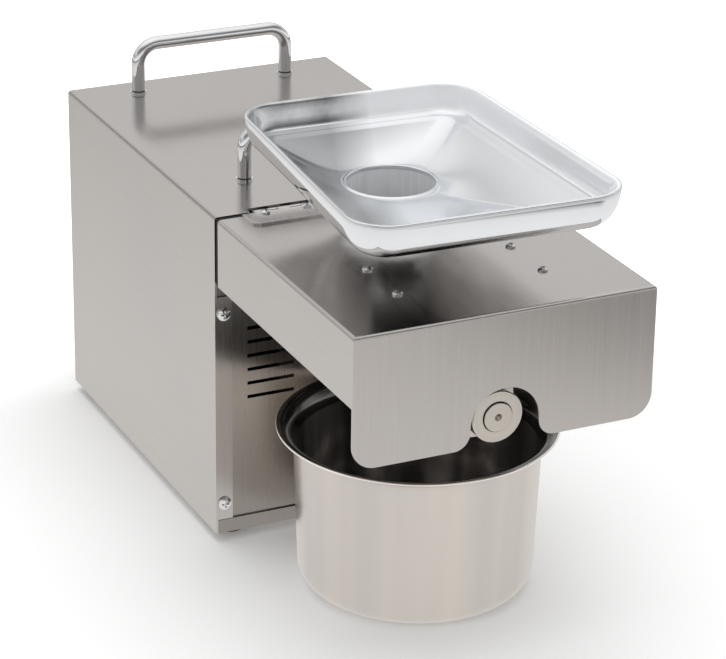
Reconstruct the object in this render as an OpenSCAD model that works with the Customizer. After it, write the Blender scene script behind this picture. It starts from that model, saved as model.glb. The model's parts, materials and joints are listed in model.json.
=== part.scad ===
// Countertop screw press for cooking oil: steel casing, hinged front cover,
// feed tray, press chamber with its screw, gear train, motor and oil bowl.
// Millimetres. X to the right, -Y to the front, +Z up, floor at z = 0.

/* [Casing] */
// Width of the casing
casing_w = 170; // [165:1:200]
// Depth of the casing, front face to rear face
casing_d = 228; // [226:1:260]
// Height of the casing above its lower edge
casing_h = 189; // [188:1:220]
// Thickness of the stainless sheet
sheet_t = 1.2; // [0.8:0.1:1.4]
// Outer radius of the sheet's bends
bend_r = 2; // [1.5:0.1:3]
// Height of the rubber feet
foot_h = 6; // [4:0.5:12]
// Radius of the rubber feet
foot_r = 9; // [7:0.5:11]
// Width of the folded flanges at the front and rear corners
flange_w = 10; // [9:0.5:12]
// Number of vent slots in each group
vent_count = 6; // [3:1:8]

/* [Handles] */
// Distance between the two feet of a handle
handle_span = 95; // [80:1:110]
// Height of a handle's bar centre above the casing
handle_rise = 29.5; // [24:0.5:40]
// Radius of the handle rod
handle_r = 4; // [3.5:0.25:5]
// Centre-line radius of a handle's bends
handle_bend = 12; // [9:1:16]
// Distance of the front handle behind the casing's front face
front_handle_y = 47.5; // [42:0.5:60]
// Distance of the rear handle behind the casing's front face
rear_handle_y = 208.5; // [190:0.5:210]

/* [Cover] */
// Reach of the cover in front of the casing's front face
cover_l = 176; // [174:1:200]
// Depth of the cover's side walls
side_drop = 38.5; // [30:0.5:48]
// Depth of the cover's front plate
plate_drop = 72; // [64:0.5:78]
// Radius of the front plate's lower corners
plate_corner_r = 13; // [6:1:16]
// Radius of the arched notch round the press nozzle
notch_r = 19.5; // [17:0.5:22]
// Distance of each hinge's centre from the casing's side
hinge_in = 39; // [33:1:43]
// Radius of the hinge knuckles
knuckle_r = 2.6; // [2.2:0.1:2.7]
// Radius of the hinge pins
hinge_pin_r = 1.3; // [1:0.1:1.5]

/* [Feed tray] */
// Width of the tray's rim at its front
tray_w = 150; // [130:1:160]
// Width of the tray's rim at its rear
tray_rear_w = 137; // [125:1:150]
// Length of the tray's rim, front to back
tray_l = 193; // [170:1:194]
// Turn of the loose tray about its neck, in degrees
tray_swing = 2; // [0:0.5:3]
// Height of the tray's rim above the cover
tray_rise = 53.5; // [50:0.5:60]
// Depth of the tray's walls
tray_wall = 14; // [8:0.5:18]
// Height of the tray's hole lip above the cover
lip_rise = 22.5; // [18:0.5:26]
// Radius of the feed hole
feed_r = 24; // [20:0.5:24.5]
// Thickness of the cast tray
tray_t = 2.5; // [2:0.1:3]

/* [Press] */
// Height of the press screw above the floor
screw_z = 134; // [131:0.5:136]
// Radius of the chamber's bore
bore_r = 15.1; // [13.5:0.1:16]
// Outer radius of the chamber
chamber_r = 21; // [20:0.5:23]
// Distance of the feed hole's axis in front of the casing
feed_y = 39.5; // [38.5:0.5:44]
// Distance of the chamber's front end in front of the casing
chamber_l = 145; // [140:1:150]
// Length of the nozzle in front of the chamber
nozzle_out = 23; // [17:1:26]
// Outer radius of the nozzle
nozzle_r = 14.2; // [13:0.1:15]
// Pitch of the screw's flight
flight_pitch = 22; // [18:1:28]
// Number of oil slits
slit_count = 11; // [5:1:12]

/* [Bowl] */
// Radius of the bowl's rim
bowl_rim_r = 76.5; // [70:0.5:77]
// Radius of the bowl's wall below the rim
bowl_r = 67; // [60:0.5:68]
// Height of the bowl
bowl_h = 91; // [80:1:94]
// Distance of the bowl's centre in front of the casing
bowl_y = 78; // [78:0.5:84]

/* [Gears] */
// Clearance between the gearbox and the casing's right side
gearbox_gap = 12.69; // [8:0.01:16]
// Teeth on each pinion
pinion_teeth = 14; // [14:1:15]
// Teeth on each wheel
wheel_teeth = 56; // [54:1:58]

/* [Hidden] */
$fn = 64;
hull_fn = 32;

// Fits and overruns
cut = 1;
seam = 0.3;
run_fit = 0.06;
hole_fit = 0.1;

// Levels and the casing's faces
top_z = foot_h + casing_h;
screw_head_h = 2.2;
face_y = (cover_l - casing_d - screw_head_h) / 2;
rear_y = face_y + casing_d;
inner_w = casing_w - 2 * sheet_t;
panel_front = face_y + sheet_t;
gearbox_front = panel_front + sheet_t;
panel_rear = rear_y - sheet_t;

// Flanges, upstand and their screws
upstand_h = 8;
flange_gap = 46.5;
flange_low = foot_h + upstand_h + seam;
flange_high = top_z - flange_gap;
flange_screw_in = 5;
flange_screw_up = 10;
screw_r = 2;
screw_head_r = 3.8;
screw_l = 8;
cross_w = 1;
cross_l = 4.4;
cross_deep = 1.2;

// Vent slots
vent_l = 28;
vent_h = 2;
vent_pitch = 8.2;
vent_in = 33.5;
vent_up = 80;
vent_x = casing_w / 2 - vent_in;
vent_low = foot_h + vent_up;

// Feet
foot_in_x = 15;
foot_in_y = 17;
foot_taper = 1.5;
foot_hole_r = 2.2;
foot_recess_r = 5;
foot_recess = 3;

// Hinges
cover_gap = 4.4;
pin_out = 1.6;
pin_down = 1.4;
leaf_t = knuckle_r - pin_down;
knuckle_l = 35;
knuckle_count = 5;
leaf_w = 50;
leaf_l = 16;
leaf_corner = 5;
leaf_drop = 20;
leaf_screw_x = 12;
leaf_screw_y = 6.2;
leaf_screw_down = 7;
hinge_x = casing_w / 2 - hinge_in;
small_screw_r = 1.5;
small_head_r = 2.7;
small_head_h = 1.9;
small_screw_l = 6;
pin_y = face_y - pin_out;
pin_z = top_z - pin_down;
slot_deep = 5.5;
slot_drop = 4;
slot_side = 1;

// Cover
cover_rear = face_y - cover_gap;
cover_front = face_y - cover_l;
notch_fillet = 9;
cover_hole_r = 28;
pattern_in = 43.7;
pattern_x = casing_w / 2 - pattern_in;
pattern_front = 134.5;
pattern_rear = 99;
shield_drop = 11;
shield_t = 1.5;
shield_margin = 9;
shield_boss_r = 4;

// Tray
tray_back = 57.5;
tray_corner = 26;
tray_flare = 4;
tray_side = 17;
tray_side_in = 3.5;
tray_turn = 25;
tray_turn_in = 11;
tray_neck_t = 1;
tray_boss_r = 34;
tray_boss_up = 15;
tray_lip_r = 1.6;
neck_in = 12;
slab = 0.4;
tray_y = face_y - feed_y - tray_l / 2 + tray_back;
rim_z = top_z + tray_rise;
crease_z = rim_z - tray_wall;
lip_z = top_z + lip_rise;
neck_z = top_z - neck_in;
neck_r = feed_r + tray_neck_t;

// Chamber, its socket and the screw, measured forward of the casing's face
socket_out = 10;
socket_r = 27;
socket_bore_r = 20.06;
spigot_r = 20;
socket_flange_r = 34;
socket_flange_t = 4;
socket_pcd_r = 30.5;
shaft_gap = 1;
collar_l = 5;
end_wall = 6;
throat_gap = 0.4;
throat_t = 2.6;
throat_r = neck_r + throat_gap + throat_t;
throat_top = top_z - neck_in / 2 - screw_z;
ledge_y = neck_z - seam - screw_z;
port_r = 13;
port_top = 22;
slit_w = 1;
slit_half = 9;
slit_deep = 12;
slit_pitch = 4.5;
slit_lag = 10;
nozzle_body_r = 17;
nozzle_in = 14;
nozzle_l = chamber_l + nozzle_out;
slit_start = chamber_l - nozzle_in - slit_lag - (slit_count - 1) * slit_pitch;
nozzle_bore_r = 8.3;
nozzle_land = 18;
edge_r = 0.5;
land_edge = 0.2;
journal_r = 9.93;
journal_bore_r = 10;
tail_w = 13;
tail_l = 14;
tail_gap = 0.15;
core_start_r = 8;
core_end_r = 12.3;
core_back = 27;
core_end = chamber_l - core_back;
tip_back = 7;
tip_start = chamber_l - tip_back;
tip_r = 7.9;
tip_out = 1;
tip_hole_r = 2;
tip_hole = 4;
flight_gap = 0.3;
flight_share = 0.2;
flight_lead = 2;
flight_lag = 3;
flight_start = end_wall + flight_lead;
flight_end = chamber_l - nozzle_in - flight_lag;
flight_slices = 96;
flight_arc_steps = 3;
clamp_r = 2.5;
clamp_head_r = 7;
clamp_head_l = 8;
clamp_head_x = 36;
clamp_out = 6.4;
clamp_grooves = 12;
clamp_groove_r = 0.8;

// Bowl: spun steel with a rounded base edge and a wide flared lip
bowl_t = 1.2;
bowl_base_r = 64.5;
bowl_edge = 13;
bowl_lip = 9;
bowl_arc_steps = 12;

// Motor: it fills the space beside the control board and stands just above the base
board_gap = 17.8;
board_t = 1.6;
part_out = 14;
motor_gap = 4.4;
motor_up = 8.8;
board_x = inner_w / 2 - board_gap;
motor_r = board_x - board_t - part_out - motor_gap;
motor_z = foot_h + sheet_t + motor_up + motor_r;

// Gear train: the module at which the gearbox keeps its clearance from the casing's side,
// for a layshaft that lies level with the middle of the drop from the screw to the motor
pressure_angle = 20;
backlash = 0.15;
dedendum_share = 1.25;
wall_t = 5;
case_front_t = 8;
case_inner = 40;
gap_r = 5;
half_drop = (screw_z - motor_z) / 2;
train_w = inner_w / 2 - gearbox_gap - gap_r - wall_t;
centre_share = (pinion_teeth + wheel_teeth) / 2;
tip_share = wheel_teeth / 2 + 1;
share_gap = centre_share * centre_share - tip_share * tip_share;
gear_m = (sqrt(pow(train_w * tip_share, 2) + share_gap * (train_w * train_w + half_drop * half_drop))
    - train_w * tip_share) / share_gap;
centre_d = gear_m * centre_share;
lay_x = sqrt(centre_d * centre_d - half_drop * half_drop);
lay_z = screw_z - half_drop;
case_l = case_front_t + case_inner;
wheel_tip_r = gear_m * tip_share;
pinion_tip_r = gear_m * (pinion_teeth / 2 + 1);
cover_t = 6;
case_rear = gearbox_front + case_l;
bell_front = case_rear + cover_t;
output_r = 14;
output_tail_r = 6;
output_gear_y = 11;
wheel_w = 12;
small_wheel_w = 8;
pinion_w = 16;
lay_r = 5;
bearing_ring = 5;
gear_space = 4;
small_wheel_y = output_gear_y + pinion_w + gear_space;

// Direction from the layshaft to the output axis and from the motor to the layshaft
out_dir = atan2(screw_z - lay_z, -lay_x);
lay_dir = atan2(lay_z - motor_z, lay_x);
wheel_angle_out = out_dir + 180 - 180 / wheel_teeth;
wheel_angle_lay = lay_dir + 180 - 180 / wheel_teeth;
case_left = wheel_tip_r + gap_r + wall_t;
case_right = lay_x + wheel_tip_r + gap_r + wall_t;
case_high = screw_z + wheel_tip_r + gap_r + wall_t;
case_low = motor_z - pinion_tip_r - gap_r;

// Motor's inside, measured back from its front bell
shell_t = 3;
bell_t = 8;
motor_l = 108;
shaft_r = 5;
pinion_bore_r = 4;
magnet_t = 10.5;
air_gap = 0.5;
armature_r = motor_r - shell_t - magnet_t - air_gap;
armature_l = 66;
armature_y = 18;
slot_count = 12;
slot_w = 4;
slot_depth = 9;
winding_r = 6;
magnet_arc = 140;
commutator_r = 13;
commutator_l = 9;
commutator_y = 100;
brush_w = 6;
brush_l = 14;
fan_r = 38;
fan_hub_r = 9;
fan_l = 14;
fan_y = 124;
fan_blades = 7;
blade_t = 1.6;
blade_tilt = 35;

// Brackets, board, inlet and switches
bracket_t = 3;
bracket_w = 56;
bracket_foot = 14;
cradle_l = 22;
cradle_w = 60;
board_y = 82;
board_l = 84;
board_h = 70;
board_z = 34;
standoff_r = 3;
standoff_l = 5;
socket_z = 150;
inlet_in = 33.8;
inlet_x = inlet_in - inner_w / 2;
inlet_w = 30;
inlet_h = 24;
inlet_t = 2;
inlet_deep = 24;
recess_w = 24;
recess_h = 16;
recess_deep = 15;
pin_w = 2;
pin_h = 4.5;
pin_l = 15;
pin_gap = 7;
inlet_pin_short = 5.2;
switch_w = 20;
switch_h = 28;
switch_deep = 20;
rocker_w = 15;
rocker_h = 21;
rocker_gap = 0.5;
rocker_swing = 8;
rocker_high = 1.4;
rocker_low = 0.2;
rocker_edge = 2.5;
rocker_back = 6;
trunnion_r = 1.5;
trunnion_l = 1.5;
direction_in = 35.8;
switch_pitch = 34;
direction_x = inner_w / 2 - direction_in;
power_x = direction_x - switch_pitch;
rocker_y = panel_rear - rocker_high;
relay_l = 20;
relay_h = 16;
cap_r = 6;
sink_l = 30;
sink_h = 24;
sink_fin = 1.5;
sink_gap = 3.5;

wire_r = 1.6;
wire_bead = 0.3;
wire_out = 12;
board_wire_in = 6;
motor_wire_in = 10;
motor_wire_r = motor_r - motor_wire_in;
motor_wire_out = 8;

// Colours
steel = [0.74, 0.72, 0.70];
bright = [0.82, 0.82, 0.83];
alloy = [0.78, 0.79, 0.80];
dark_steel = [0.45, 0.44, 0.43];
black = [0.08, 0.08, 0.08];
copper = [0.72, 0.45, 0.25];
board_green = [0.10, 0.35, 0.18];

// Sheet section with two rounded upper corners, standing on y = 0
module round_top(w, h, r) {
    translate([-w / 2, 0]) square([w, h - r]);
    translate([-w / 2 + r, 0]) square([w - 2 * r, h]);
    for (s = [-1, 1]) translate([s * (w / 2 - r), h - r]) circle(r);
}

// Draws a flat X-Z outline as a solid running back from y = start
module along_y(start, length) {
    translate([0, start + length, 0]) rotate([90, 0, 0]) linear_extrude(length) children();
}

// Draws a flat Y-Z outline as a solid running right from x = start
module along_x(start, length) {
    translate([start, 0, 0]) rotate([90, 0, 90]) linear_extrude(length) children();
}

// Cylinder about a fore-and-aft axis
module rod_y(r, start, length, x = 0, z = 0) {
    translate([x, start, z]) rotate([-90, 0, 0]) cylinder(r = r, h = length);
}

// Frame of the press: origin on the screw's axis at the casing's face, +Z forward, +Y up
module press_frame() {
    translate([0, face_y, screw_z]) rotate([90, 0, 0]) children();
}

// Pan-head screw with a cross recess, head up, its seat at z = 0
module pan_screw(r, head_r, head_h, l) {
    difference() {
        union() {
            translate([0, 0, -l]) cylinder(r = r, h = l);
            intersection() {
                cylinder(r = head_r, h = head_h);
                translate([0, 0, head_h - head_r * head_r / head_h])
                    sphere(r = head_r * head_r / head_h);
            }
        }
        for (a = [0, 90]) rotate([0, 0, a])
            translate([-cross_l / 2, -cross_w / 2, head_h - cross_deep])
                cube([cross_l, cross_w, cross_deep + cut]);
    }
}

// Places of the flange screws, as x and height
function flange_spots() = [for (s = [-1, 1], z = [flange_low + flange_screw_up,
    flange_high - flange_screw_up]) [s * (casing_w / 2 - flange_screw_in), z]];

// Holes along Y through a face between two depths
module flange_holes(start, length) {
    for (p = flange_spots()) rod_y(screw_r + hole_fit, start, length, p[0], p[1]);
}

module casing() {
    color(steel) difference() {
        union() {
            difference() {
                along_y(face_y, casing_d) translate([0, foot_h]) round_top(casing_w, casing_h, bend_r);
                along_y(face_y - cut, casing_d + 2 * cut) translate([0, foot_h - cut])
                    round_top(inner_w, casing_h - sheet_t + cut, bend_r - sheet_t);
            }
            for (s = [-1, 1], y = [face_y, panel_rear])
                translate([s * (casing_w - flange_w) / 2 - flange_w / 2, y, flange_low])
                    cube([flange_w, sheet_t, flange_high - flange_low]);
        }
        flange_holes(face_y - cut, casing_d + 2 * cut);
        hinge_slots();
        for (s = [-1, 1], y = [front_handle_y, rear_handle_y])
            translate([s * handle_span / 2, face_y + y, top_z - sheet_t - cut])
                cylinder(r = screw_r + hole_fit, h = sheet_t + 2 * cut);
    }
}

// Room for the knuckles' rear, cut through the casing's top and the front panel's upper edge
module hinge_slots() {
    for (s = [-1, 1])
        translate([s * hinge_x - knuckle_l / 2 - slot_side, face_y - cut, top_z - slot_drop])
            cube([knuckle_l + 2 * slot_side, slot_deep + cut, slot_drop + cut]);
}

// Both groups of vent slots, cut through a panel
module vents(start, length) {
    for (s = [-1, 1], i = [0 : vent_count - 1])
        translate([s * vent_x - vent_l / 2, start, vent_low + i * vent_pitch - vent_h / 2])
            cube([vent_l, length, vent_h]);
}

module front_panel() {
    color(steel) difference() {
        translate([-inner_w / 2, panel_front, foot_h + sheet_t])
            cube([inner_w, sheet_t, casing_h - 2 * sheet_t]);
        hinge_slots();
        flange_holes(panel_front - cut, sheet_t + 2 * cut);
        vents(panel_front - cut, sheet_t + 2 * cut);
        rod_y(output_r + shaft_gap, panel_front - cut, sheet_t + 2 * cut, 0, screw_z);
        for (a = [45 : 90 : 315])
            rod_y(screw_r + hole_fit, panel_front - cut, sheet_t + 2 * cut,
                socket_pcd_r * cos(a), screw_z + socket_pcd_r * sin(a));
        for (s = [-1, 1], k = [-1, 1])
            rod_y(small_screw_r + hole_fit, panel_front - cut, sheet_t + 2 * cut,
                s * hinge_x + k * leaf_screw_x, pin_z - leaf_screw_down);
    }
}

module rear_panel() {
    color(steel) difference() {
        translate([-inner_w / 2, panel_rear - sheet_t, foot_h + sheet_t])
            cube([inner_w, sheet_t, casing_h - 2 * sheet_t]);
        flange_holes(panel_rear - sheet_t - cut, sheet_t + 2 * cut);
        for (s = [-1, 1], i = [0 : vent_count])
            translate([s * (vent_l + vent_h) / 2 - vent_l / 2, panel_rear - sheet_t - cut,
                motor_z + (i - vent_count / 2) * vent_pitch - vent_h / 2])
                cube([vent_l, sheet_t + 2 * cut, vent_h]);
        translate([inlet_x - (inlet_w - 2 * inlet_t) / 2, panel_rear - sheet_t - cut,
            socket_z - (inlet_h - 2 * inlet_t) / 2])
            cube([inlet_w - 2 * inlet_t, sheet_t + 2 * cut, inlet_h - 2 * inlet_t]);
        for (x = [power_x, direction_x])
            translate([x - (switch_w - inlet_t) / 2, panel_rear - sheet_t - cut,
                socket_z - (switch_h - inlet_t) / 2])
                cube([switch_w - inlet_t, sheet_t + 2 * cut, switch_h - inlet_t]);
    }
}

module base_plate() {
    color(steel) difference() {
        union() {
            translate([-inner_w / 2, face_y, foot_h]) cube([inner_w, casing_d, sheet_t]);
            for (y = [face_y, panel_rear]) translate([-inner_w / 2, y, foot_h])
                cube([inner_w, sheet_t, upstand_h]);
            for (s = [-1, 1])
                translate([s * (inner_w - sheet_t) / 2 - sheet_t / 2, gearbox_front + seam, foot_h])
                    cube([sheet_t, casing_d - 2 * (2 * sheet_t + seam), upstand_h]);
        }
        foot_places() translate([0, 0, foot_h - cut])
            cylinder(r = screw_r + hole_fit, h = sheet_t + 2 * cut);
    }
}

// Each foot's place
module foot_places() {
    for (s = [-1, 1], y = [face_y + foot_in_y, rear_y - foot_in_y])
        translate([s * (casing_w / 2 - foot_in_x), y, 0]) children();
}

module foot(side, y) {
    color(black) translate([side * (casing_w / 2 - foot_in_x), y, 0]) difference() {
        cylinder(r1 = foot_r - foot_taper, r2 = foot_r, h = foot_h);
        translate([0, 0, -cut]) cylinder(r = foot_hole_r, h = foot_h + 2 * cut);
        translate([0, 0, -cut]) cylinder(r = foot_recess_r, h = foot_recess + cut);
    }
}

module foot_screws() {
    color(dark_steel) foot_places() translate([0, 0, foot_recess]) rotate([180, 0, 0])
        pan_screw(screw_r, screw_head_r, screw_head_h, foot_h - foot_recess + sheet_t + foot_taper);
}

module casing_screws() {
    color(bright) for (p = flange_spots()) {
        translate([p[0], face_y, p[1]]) rotate([90, 0, 0])
            pan_screw(screw_r, screw_head_r, screw_head_h, screw_l);
        translate([p[0], rear_y, p[1]]) rotate([-90, 0, 0])
            pan_screw(screw_r, screw_head_r, screw_head_h, screw_l);
    }
}

// U-shaped rod with a threaded hole in each foot
module handle(y) {
    rise = handle_rise - handle_bend;
    washer = sheet_t;
    color(bright) translate([0, face_y + y, top_z]) difference() {
        union() {
            for (s = [-1, 1]) translate([s * handle_span / 2, 0, 0]) {
                cylinder(r = handle_r, h = rise);
                cylinder(r = handle_r + washer / 2, h = washer);
                translate([-s * handle_bend, 0, rise]) rotate([90, 0, 0])
                    rotate([0, 0, s > 0 ? 0 : 90]) rotate_extrude(angle = 90)
                        translate([handle_bend, 0]) circle(handle_r);
            }
            translate([-handle_span / 2 + handle_bend, 0, handle_rise]) rotate([0, 90, 0])
                cylinder(r = handle_r, h = handle_span - 2 * handle_bend);
        }
        for (s = [-1, 1]) translate([s * handle_span / 2, 0, -cut])
            cylinder(r = screw_r, h = screw_l + cut);
    }
}

module handle_screws() {
    color(dark_steel) for (s = [-1, 1], y = [front_handle_y, rear_handle_y])
        translate([s * handle_span / 2, face_y + y, top_z - sheet_t]) rotate([180, 0, 0])
            pan_screw(screw_r, screw_head_r, screw_head_h, screw_l - sheet_t);
}

// Front plate's outline, with rounded lower corners and the arched notch
module plate_outline() {
    low = top_z - plate_drop;
    difference() {
        union() {
            translate([-casing_w / 2, low + plate_corner_r])
                square([casing_w, plate_drop - plate_corner_r - bend_r]);
            translate([-casing_w / 2 + plate_corner_r, low])
                square([casing_w - 2 * plate_corner_r, plate_drop - bend_r]);
            for (s = [-1, 1])
                translate([s * (casing_w / 2 - plate_corner_r), low + plate_corner_r])
                    circle(plate_corner_r);
        }
        translate([0, screw_z]) circle(notch_r);
        translate([-notch_r, low - cut]) square([2 * notch_r, screw_z - low + cut]);
        for (s = [-1, 1]) difference() {
            translate([s * (notch_r + notch_fillet / 2) - notch_fillet / 2, low - cut])
                square([notch_fillet, notch_fillet + cut]);
            translate([s * (notch_r + notch_fillet), low + notch_fillet]) circle(notch_fillet);
        }
    }
}

// Holes along Z through the cover for its pattern of screws
module pattern_places() {
    for (s = [-1, 1], y = [pattern_rear, pattern_front])
        translate([s * pattern_x, face_y - y, 0]) children();
}

// Section of the cover seen from the side, with its front upper edge rounded
module cover_side(inset, drop) {
    r = bend_r - inset;
    translate([cover_front + inset, top_z - drop])
        square([cover_l - cover_gap - inset + cut, drop - inset - r]);
    translate([cover_front + inset + r, top_z - drop])
        square([cover_l - cover_gap - inset - r + cut, drop - inset]);
    translate([cover_front + inset + r, top_z - inset - r]) circle(r);
}

module cover() {
    color(steel) difference() {
        union() {
            difference() {
                intersection() {
                    along_y(cover_front, cover_l - cover_gap) translate([0, top_z - side_drop])
                        round_top(casing_w, side_drop, bend_r);
                    along_x(-casing_w / 2 - cut, casing_w + 2 * cut) cover_side(0, side_drop);
                }
                intersection() {
                    along_y(cover_front - cut, cover_l + cut) translate([0, top_z - side_drop - cut])
                        round_top(inner_w, side_drop - sheet_t + cut, bend_r - sheet_t);
                    along_x(-casing_w / 2, casing_w) cover_side(sheet_t, side_drop + cut);
                }
            }
            along_y(cover_front, sheet_t) plate_outline();
        }
        translate([0, face_y - feed_y, top_z - sheet_t - cut])
            cylinder(r = cover_hole_r, h = sheet_t + 2 * cut);
        pattern_places() translate([0, 0, top_z - sheet_t - cut])
            cylinder(r = small_screw_r + hole_fit, h = sheet_t + 2 * cut);
        for (s = [-1, 1], k = [-1, 1])
            translate([s * hinge_x + k * leaf_screw_x, face_y - leaf_screw_y, top_z - sheet_t - cut])
                cylinder(r = small_screw_r + hole_fit, h = sheet_t + 2 * cut);
    }
}

module cover_screws() {
    color(bright) {
        pattern_places() translate([0, 0, top_z])
            pan_screw(small_screw_r, small_head_r, small_head_h, shield_drop);
        for (s = [-1, 1], k = [-1, 1])
            translate([s * hinge_x + k * leaf_screw_x, face_y - leaf_screw_y, top_z + leaf_t])
                pan_screw(small_screw_r, small_head_r, small_head_h, small_screw_l);
    }
}

// Plate under the cover that keeps the chamber's heat from its top
module heat_shield() {
    color(dark_steel) difference() {
        union() {
            translate([-pattern_x - shield_margin, face_y - pattern_front - shield_margin,
                top_z - shield_drop])
                cube([2 * (pattern_x + shield_margin),
                    pattern_front - pattern_rear + 2 * shield_margin, shield_t]);
            pattern_places() translate([0, 0, top_z - shield_drop])
                cylinder(r = shield_boss_r, h = shield_drop - sheet_t);
        }
        pattern_places() translate([0, 0, top_z - shield_drop - cut])
            cylinder(r = small_screw_r, h = shield_drop + 2 * cut);
    }
}

// Hinge knuckles along X that belong to one leaf, even or odd ones
module knuckles(side, first, bore) {
    step = knuckle_l / knuckle_count;
    for (i = [first : 2 : knuckle_count - 1])
        translate([side * hinge_x - knuckle_l / 2 + i * step + seam / 2, pin_y, pin_z])
            rotate([0, 90, 0]) difference() {
                cylinder(r = knuckle_r, h = step - seam);
                translate([0, 0, -cut]) cylinder(r = bore, h = step + 2 * cut);
            }
}

// Knuckle-wide straps of a leaf, from the pin to the leaf, drawn by the children at each place
module straps(side, first) {
    step = knuckle_l / knuckle_count;
    for (i = [first : 2 : knuckle_count - 1])
        translate([side * hinge_x - knuckle_l / 2 + i * step + seam / 2, 0, 0]) children();
}

module cover_leaf(side) {
    step = knuckle_l / knuckle_count;
    strap = cover_gap - pin_out;
    color(bright) difference() {
        union() {
            knuckles(side, 0, hinge_pin_r + run_fit);
            straps(side, 0) translate([0, pin_y - strap - seam, top_z])
                cube([step - seam, strap + seam, leaf_t]);
            translate([side * hinge_x, cover_rear - leaf_l, top_z]) {
                translate([-leaf_w / 2, leaf_corner, 0]) cube([leaf_w, leaf_l - leaf_corner, leaf_t]);
                translate([-leaf_w / 2 + leaf_corner, 0, 0])
                    cube([leaf_w - 2 * leaf_corner, leaf_l, leaf_t]);
                for (k = [-1, 1]) translate([k * (leaf_w / 2 - leaf_corner), leaf_corner, 0])
                    cylinder(r = leaf_corner, h = leaf_t);
            }
        }
        translate([side * hinge_x - leaf_w / 2, pin_y, pin_z]) rotate([0, 90, 0])
            cylinder(r = hinge_pin_r + run_fit, h = leaf_w);
        for (k = [-1, 1])
            translate([side * hinge_x + k * leaf_screw_x, face_y - leaf_screw_y, top_z - cut])
                cylinder(r = small_screw_r + hole_fit, h = leaf_t + 2 * cut);
    }
}

module body_leaf(side) {
    step = knuckle_l / knuckle_count;
    color(bright) difference() {
        union() {
            knuckles(side, 1, hinge_pin_r);
            straps(side, 1) translate([0, face_y, pin_z - knuckle_r - seam])
                cube([step - seam, sheet_t, knuckle_r + seam]);
            translate([side * hinge_x - knuckle_l / 2, face_y, pin_z - leaf_drop])
                cube([knuckle_l, sheet_t, leaf_drop - knuckle_r - seam]);
        }
        translate([side * hinge_x - leaf_w / 2, pin_y, pin_z]) rotate([0, 90, 0])
            cylinder(r = hinge_pin_r, h = leaf_w);
        for (k = [-1, 1])
            rod_y(small_screw_r + hole_fit, face_y - cut, sheet_t + 2 * cut,
                side * hinge_x + k * leaf_screw_x, pin_z - leaf_screw_down);
    }
}

module hinge_pin(side) {
    color(bright) translate([side * hinge_x - knuckle_l / 2, pin_y, pin_z]) rotate([0, 90, 0])
        cylinder(r = hinge_pin_r, h = knuckle_l);
}

module hinge_screws() {
    color(bright) for (s = [-1, 1], k = [-1, 1])
        translate([s * hinge_x + k * leaf_screw_x, face_y, pin_z - leaf_screw_down]) rotate([90, 0, 0])
            pan_screw(small_screw_r, small_head_r, small_head_h, small_screw_l);
}

// Thin rounded slab of the tray's plan, drawn in by inset, its underside at z
module tray_slab(inset, z) {
    for (s = [-1, 1], end = [[-1, tray_w], [1, tray_rear_w]])
        translate([s * (end[1] / 2 - tray_corner), tray_y + end[0] * (tray_l / 2 - tray_corner), z])
            cylinder(r = tray_corner - inset, h = slab, $fn = hull_fn);
}

module feed_tray() {
    hole_y = face_y - feed_y;
    color(alloy) translate([0, hole_y, 0]) rotate([0, 0, -tray_swing]) translate([0, -hole_y, 0]) difference() {
        union() {
            difference() {
                union() {
                    hull() {
                        tray_slab(0, rim_z - slab);
                        tray_slab(tray_side_in, rim_z - tray_side);
                    }
                    hull() {
                        tray_slab(tray_side_in, rim_z - tray_side);
                        tray_slab(tray_turn_in, rim_z - tray_turn);
                    }
                    hull() {
                        tray_slab(tray_turn_in, rim_z - tray_turn);
                        translate([0, hole_y, top_z + tray_boss_up])
                            cylinder(r = tray_boss_r, h = slab, $fn = hull_fn);
                    }
                }
                hull() {
                    tray_slab(tray_t, rim_z);
                    tray_slab(tray_flare + tray_t, crease_z);
                }
                hull() {
                    tray_slab(tray_flare + tray_t, crease_z);
                    translate([0, hole_y, lip_z - tray_lip_r])
                        cylinder(r = feed_r + 2 * tray_lip_r, h = slab, $fn = hull_fn);
                }
            }
            translate([0, hole_y, neck_z]) cylinder(r = neck_r, h = lip_z - neck_z - tray_lip_r);
            translate([0, hole_y, lip_z - tray_lip_r]) rotate_extrude()
                translate([feed_r + tray_lip_r, 0]) circle(tray_lip_r);
        }
        translate([0, hole_y, neck_z - cut]) cylinder(r = feed_r, h = rim_z - neck_z);
    }
}

module press_chamber() {
    color(bright) press_frame() difference() {
        union() {
            translate([0, 0, -sheet_t + seam]) cylinder(r = spigot_r, h = socket_out + sheet_t);
            translate([0, 0, socket_out + seam]) cylinder(r = socket_r, h = collar_l);
            translate([0, 0, socket_out + seam]) cylinder(r = chamber_r, h = chamber_l - socket_out - seam);
            translate([0, 0, feed_y]) rotate([-90, 0, 0]) cylinder(r = throat_r, h = throat_top);
        }
        translate([0, 0, end_wall]) cylinder(r = bore_r, h = chamber_l);
        translate([0, 0, -sheet_t - cut]) cylinder(r = journal_bore_r, h = chamber_l);
        translate([0, 0, chamber_l - nozzle_in]) cylinder(r = nozzle_body_r, h = nozzle_in + cut);
        translate([0, 0, feed_y]) rotate([-90, 0, 0]) {
            cylinder(r = port_r, h = port_top + cut);
            translate([0, 0, port_top]) cylinder(r1 = port_r, r2 = feed_r, h = ledge_y - port_top);
            translate([0, 0, ledge_y]) cylinder(r = neck_r + throat_gap, h = throat_top);
        }
        for (i = [0 : slit_count - 1])
            translate([-slit_half, -chamber_r - cut, slit_start + i * slit_pitch])
                cube([2 * slit_half, slit_deep, slit_w]);
    }
}

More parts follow.
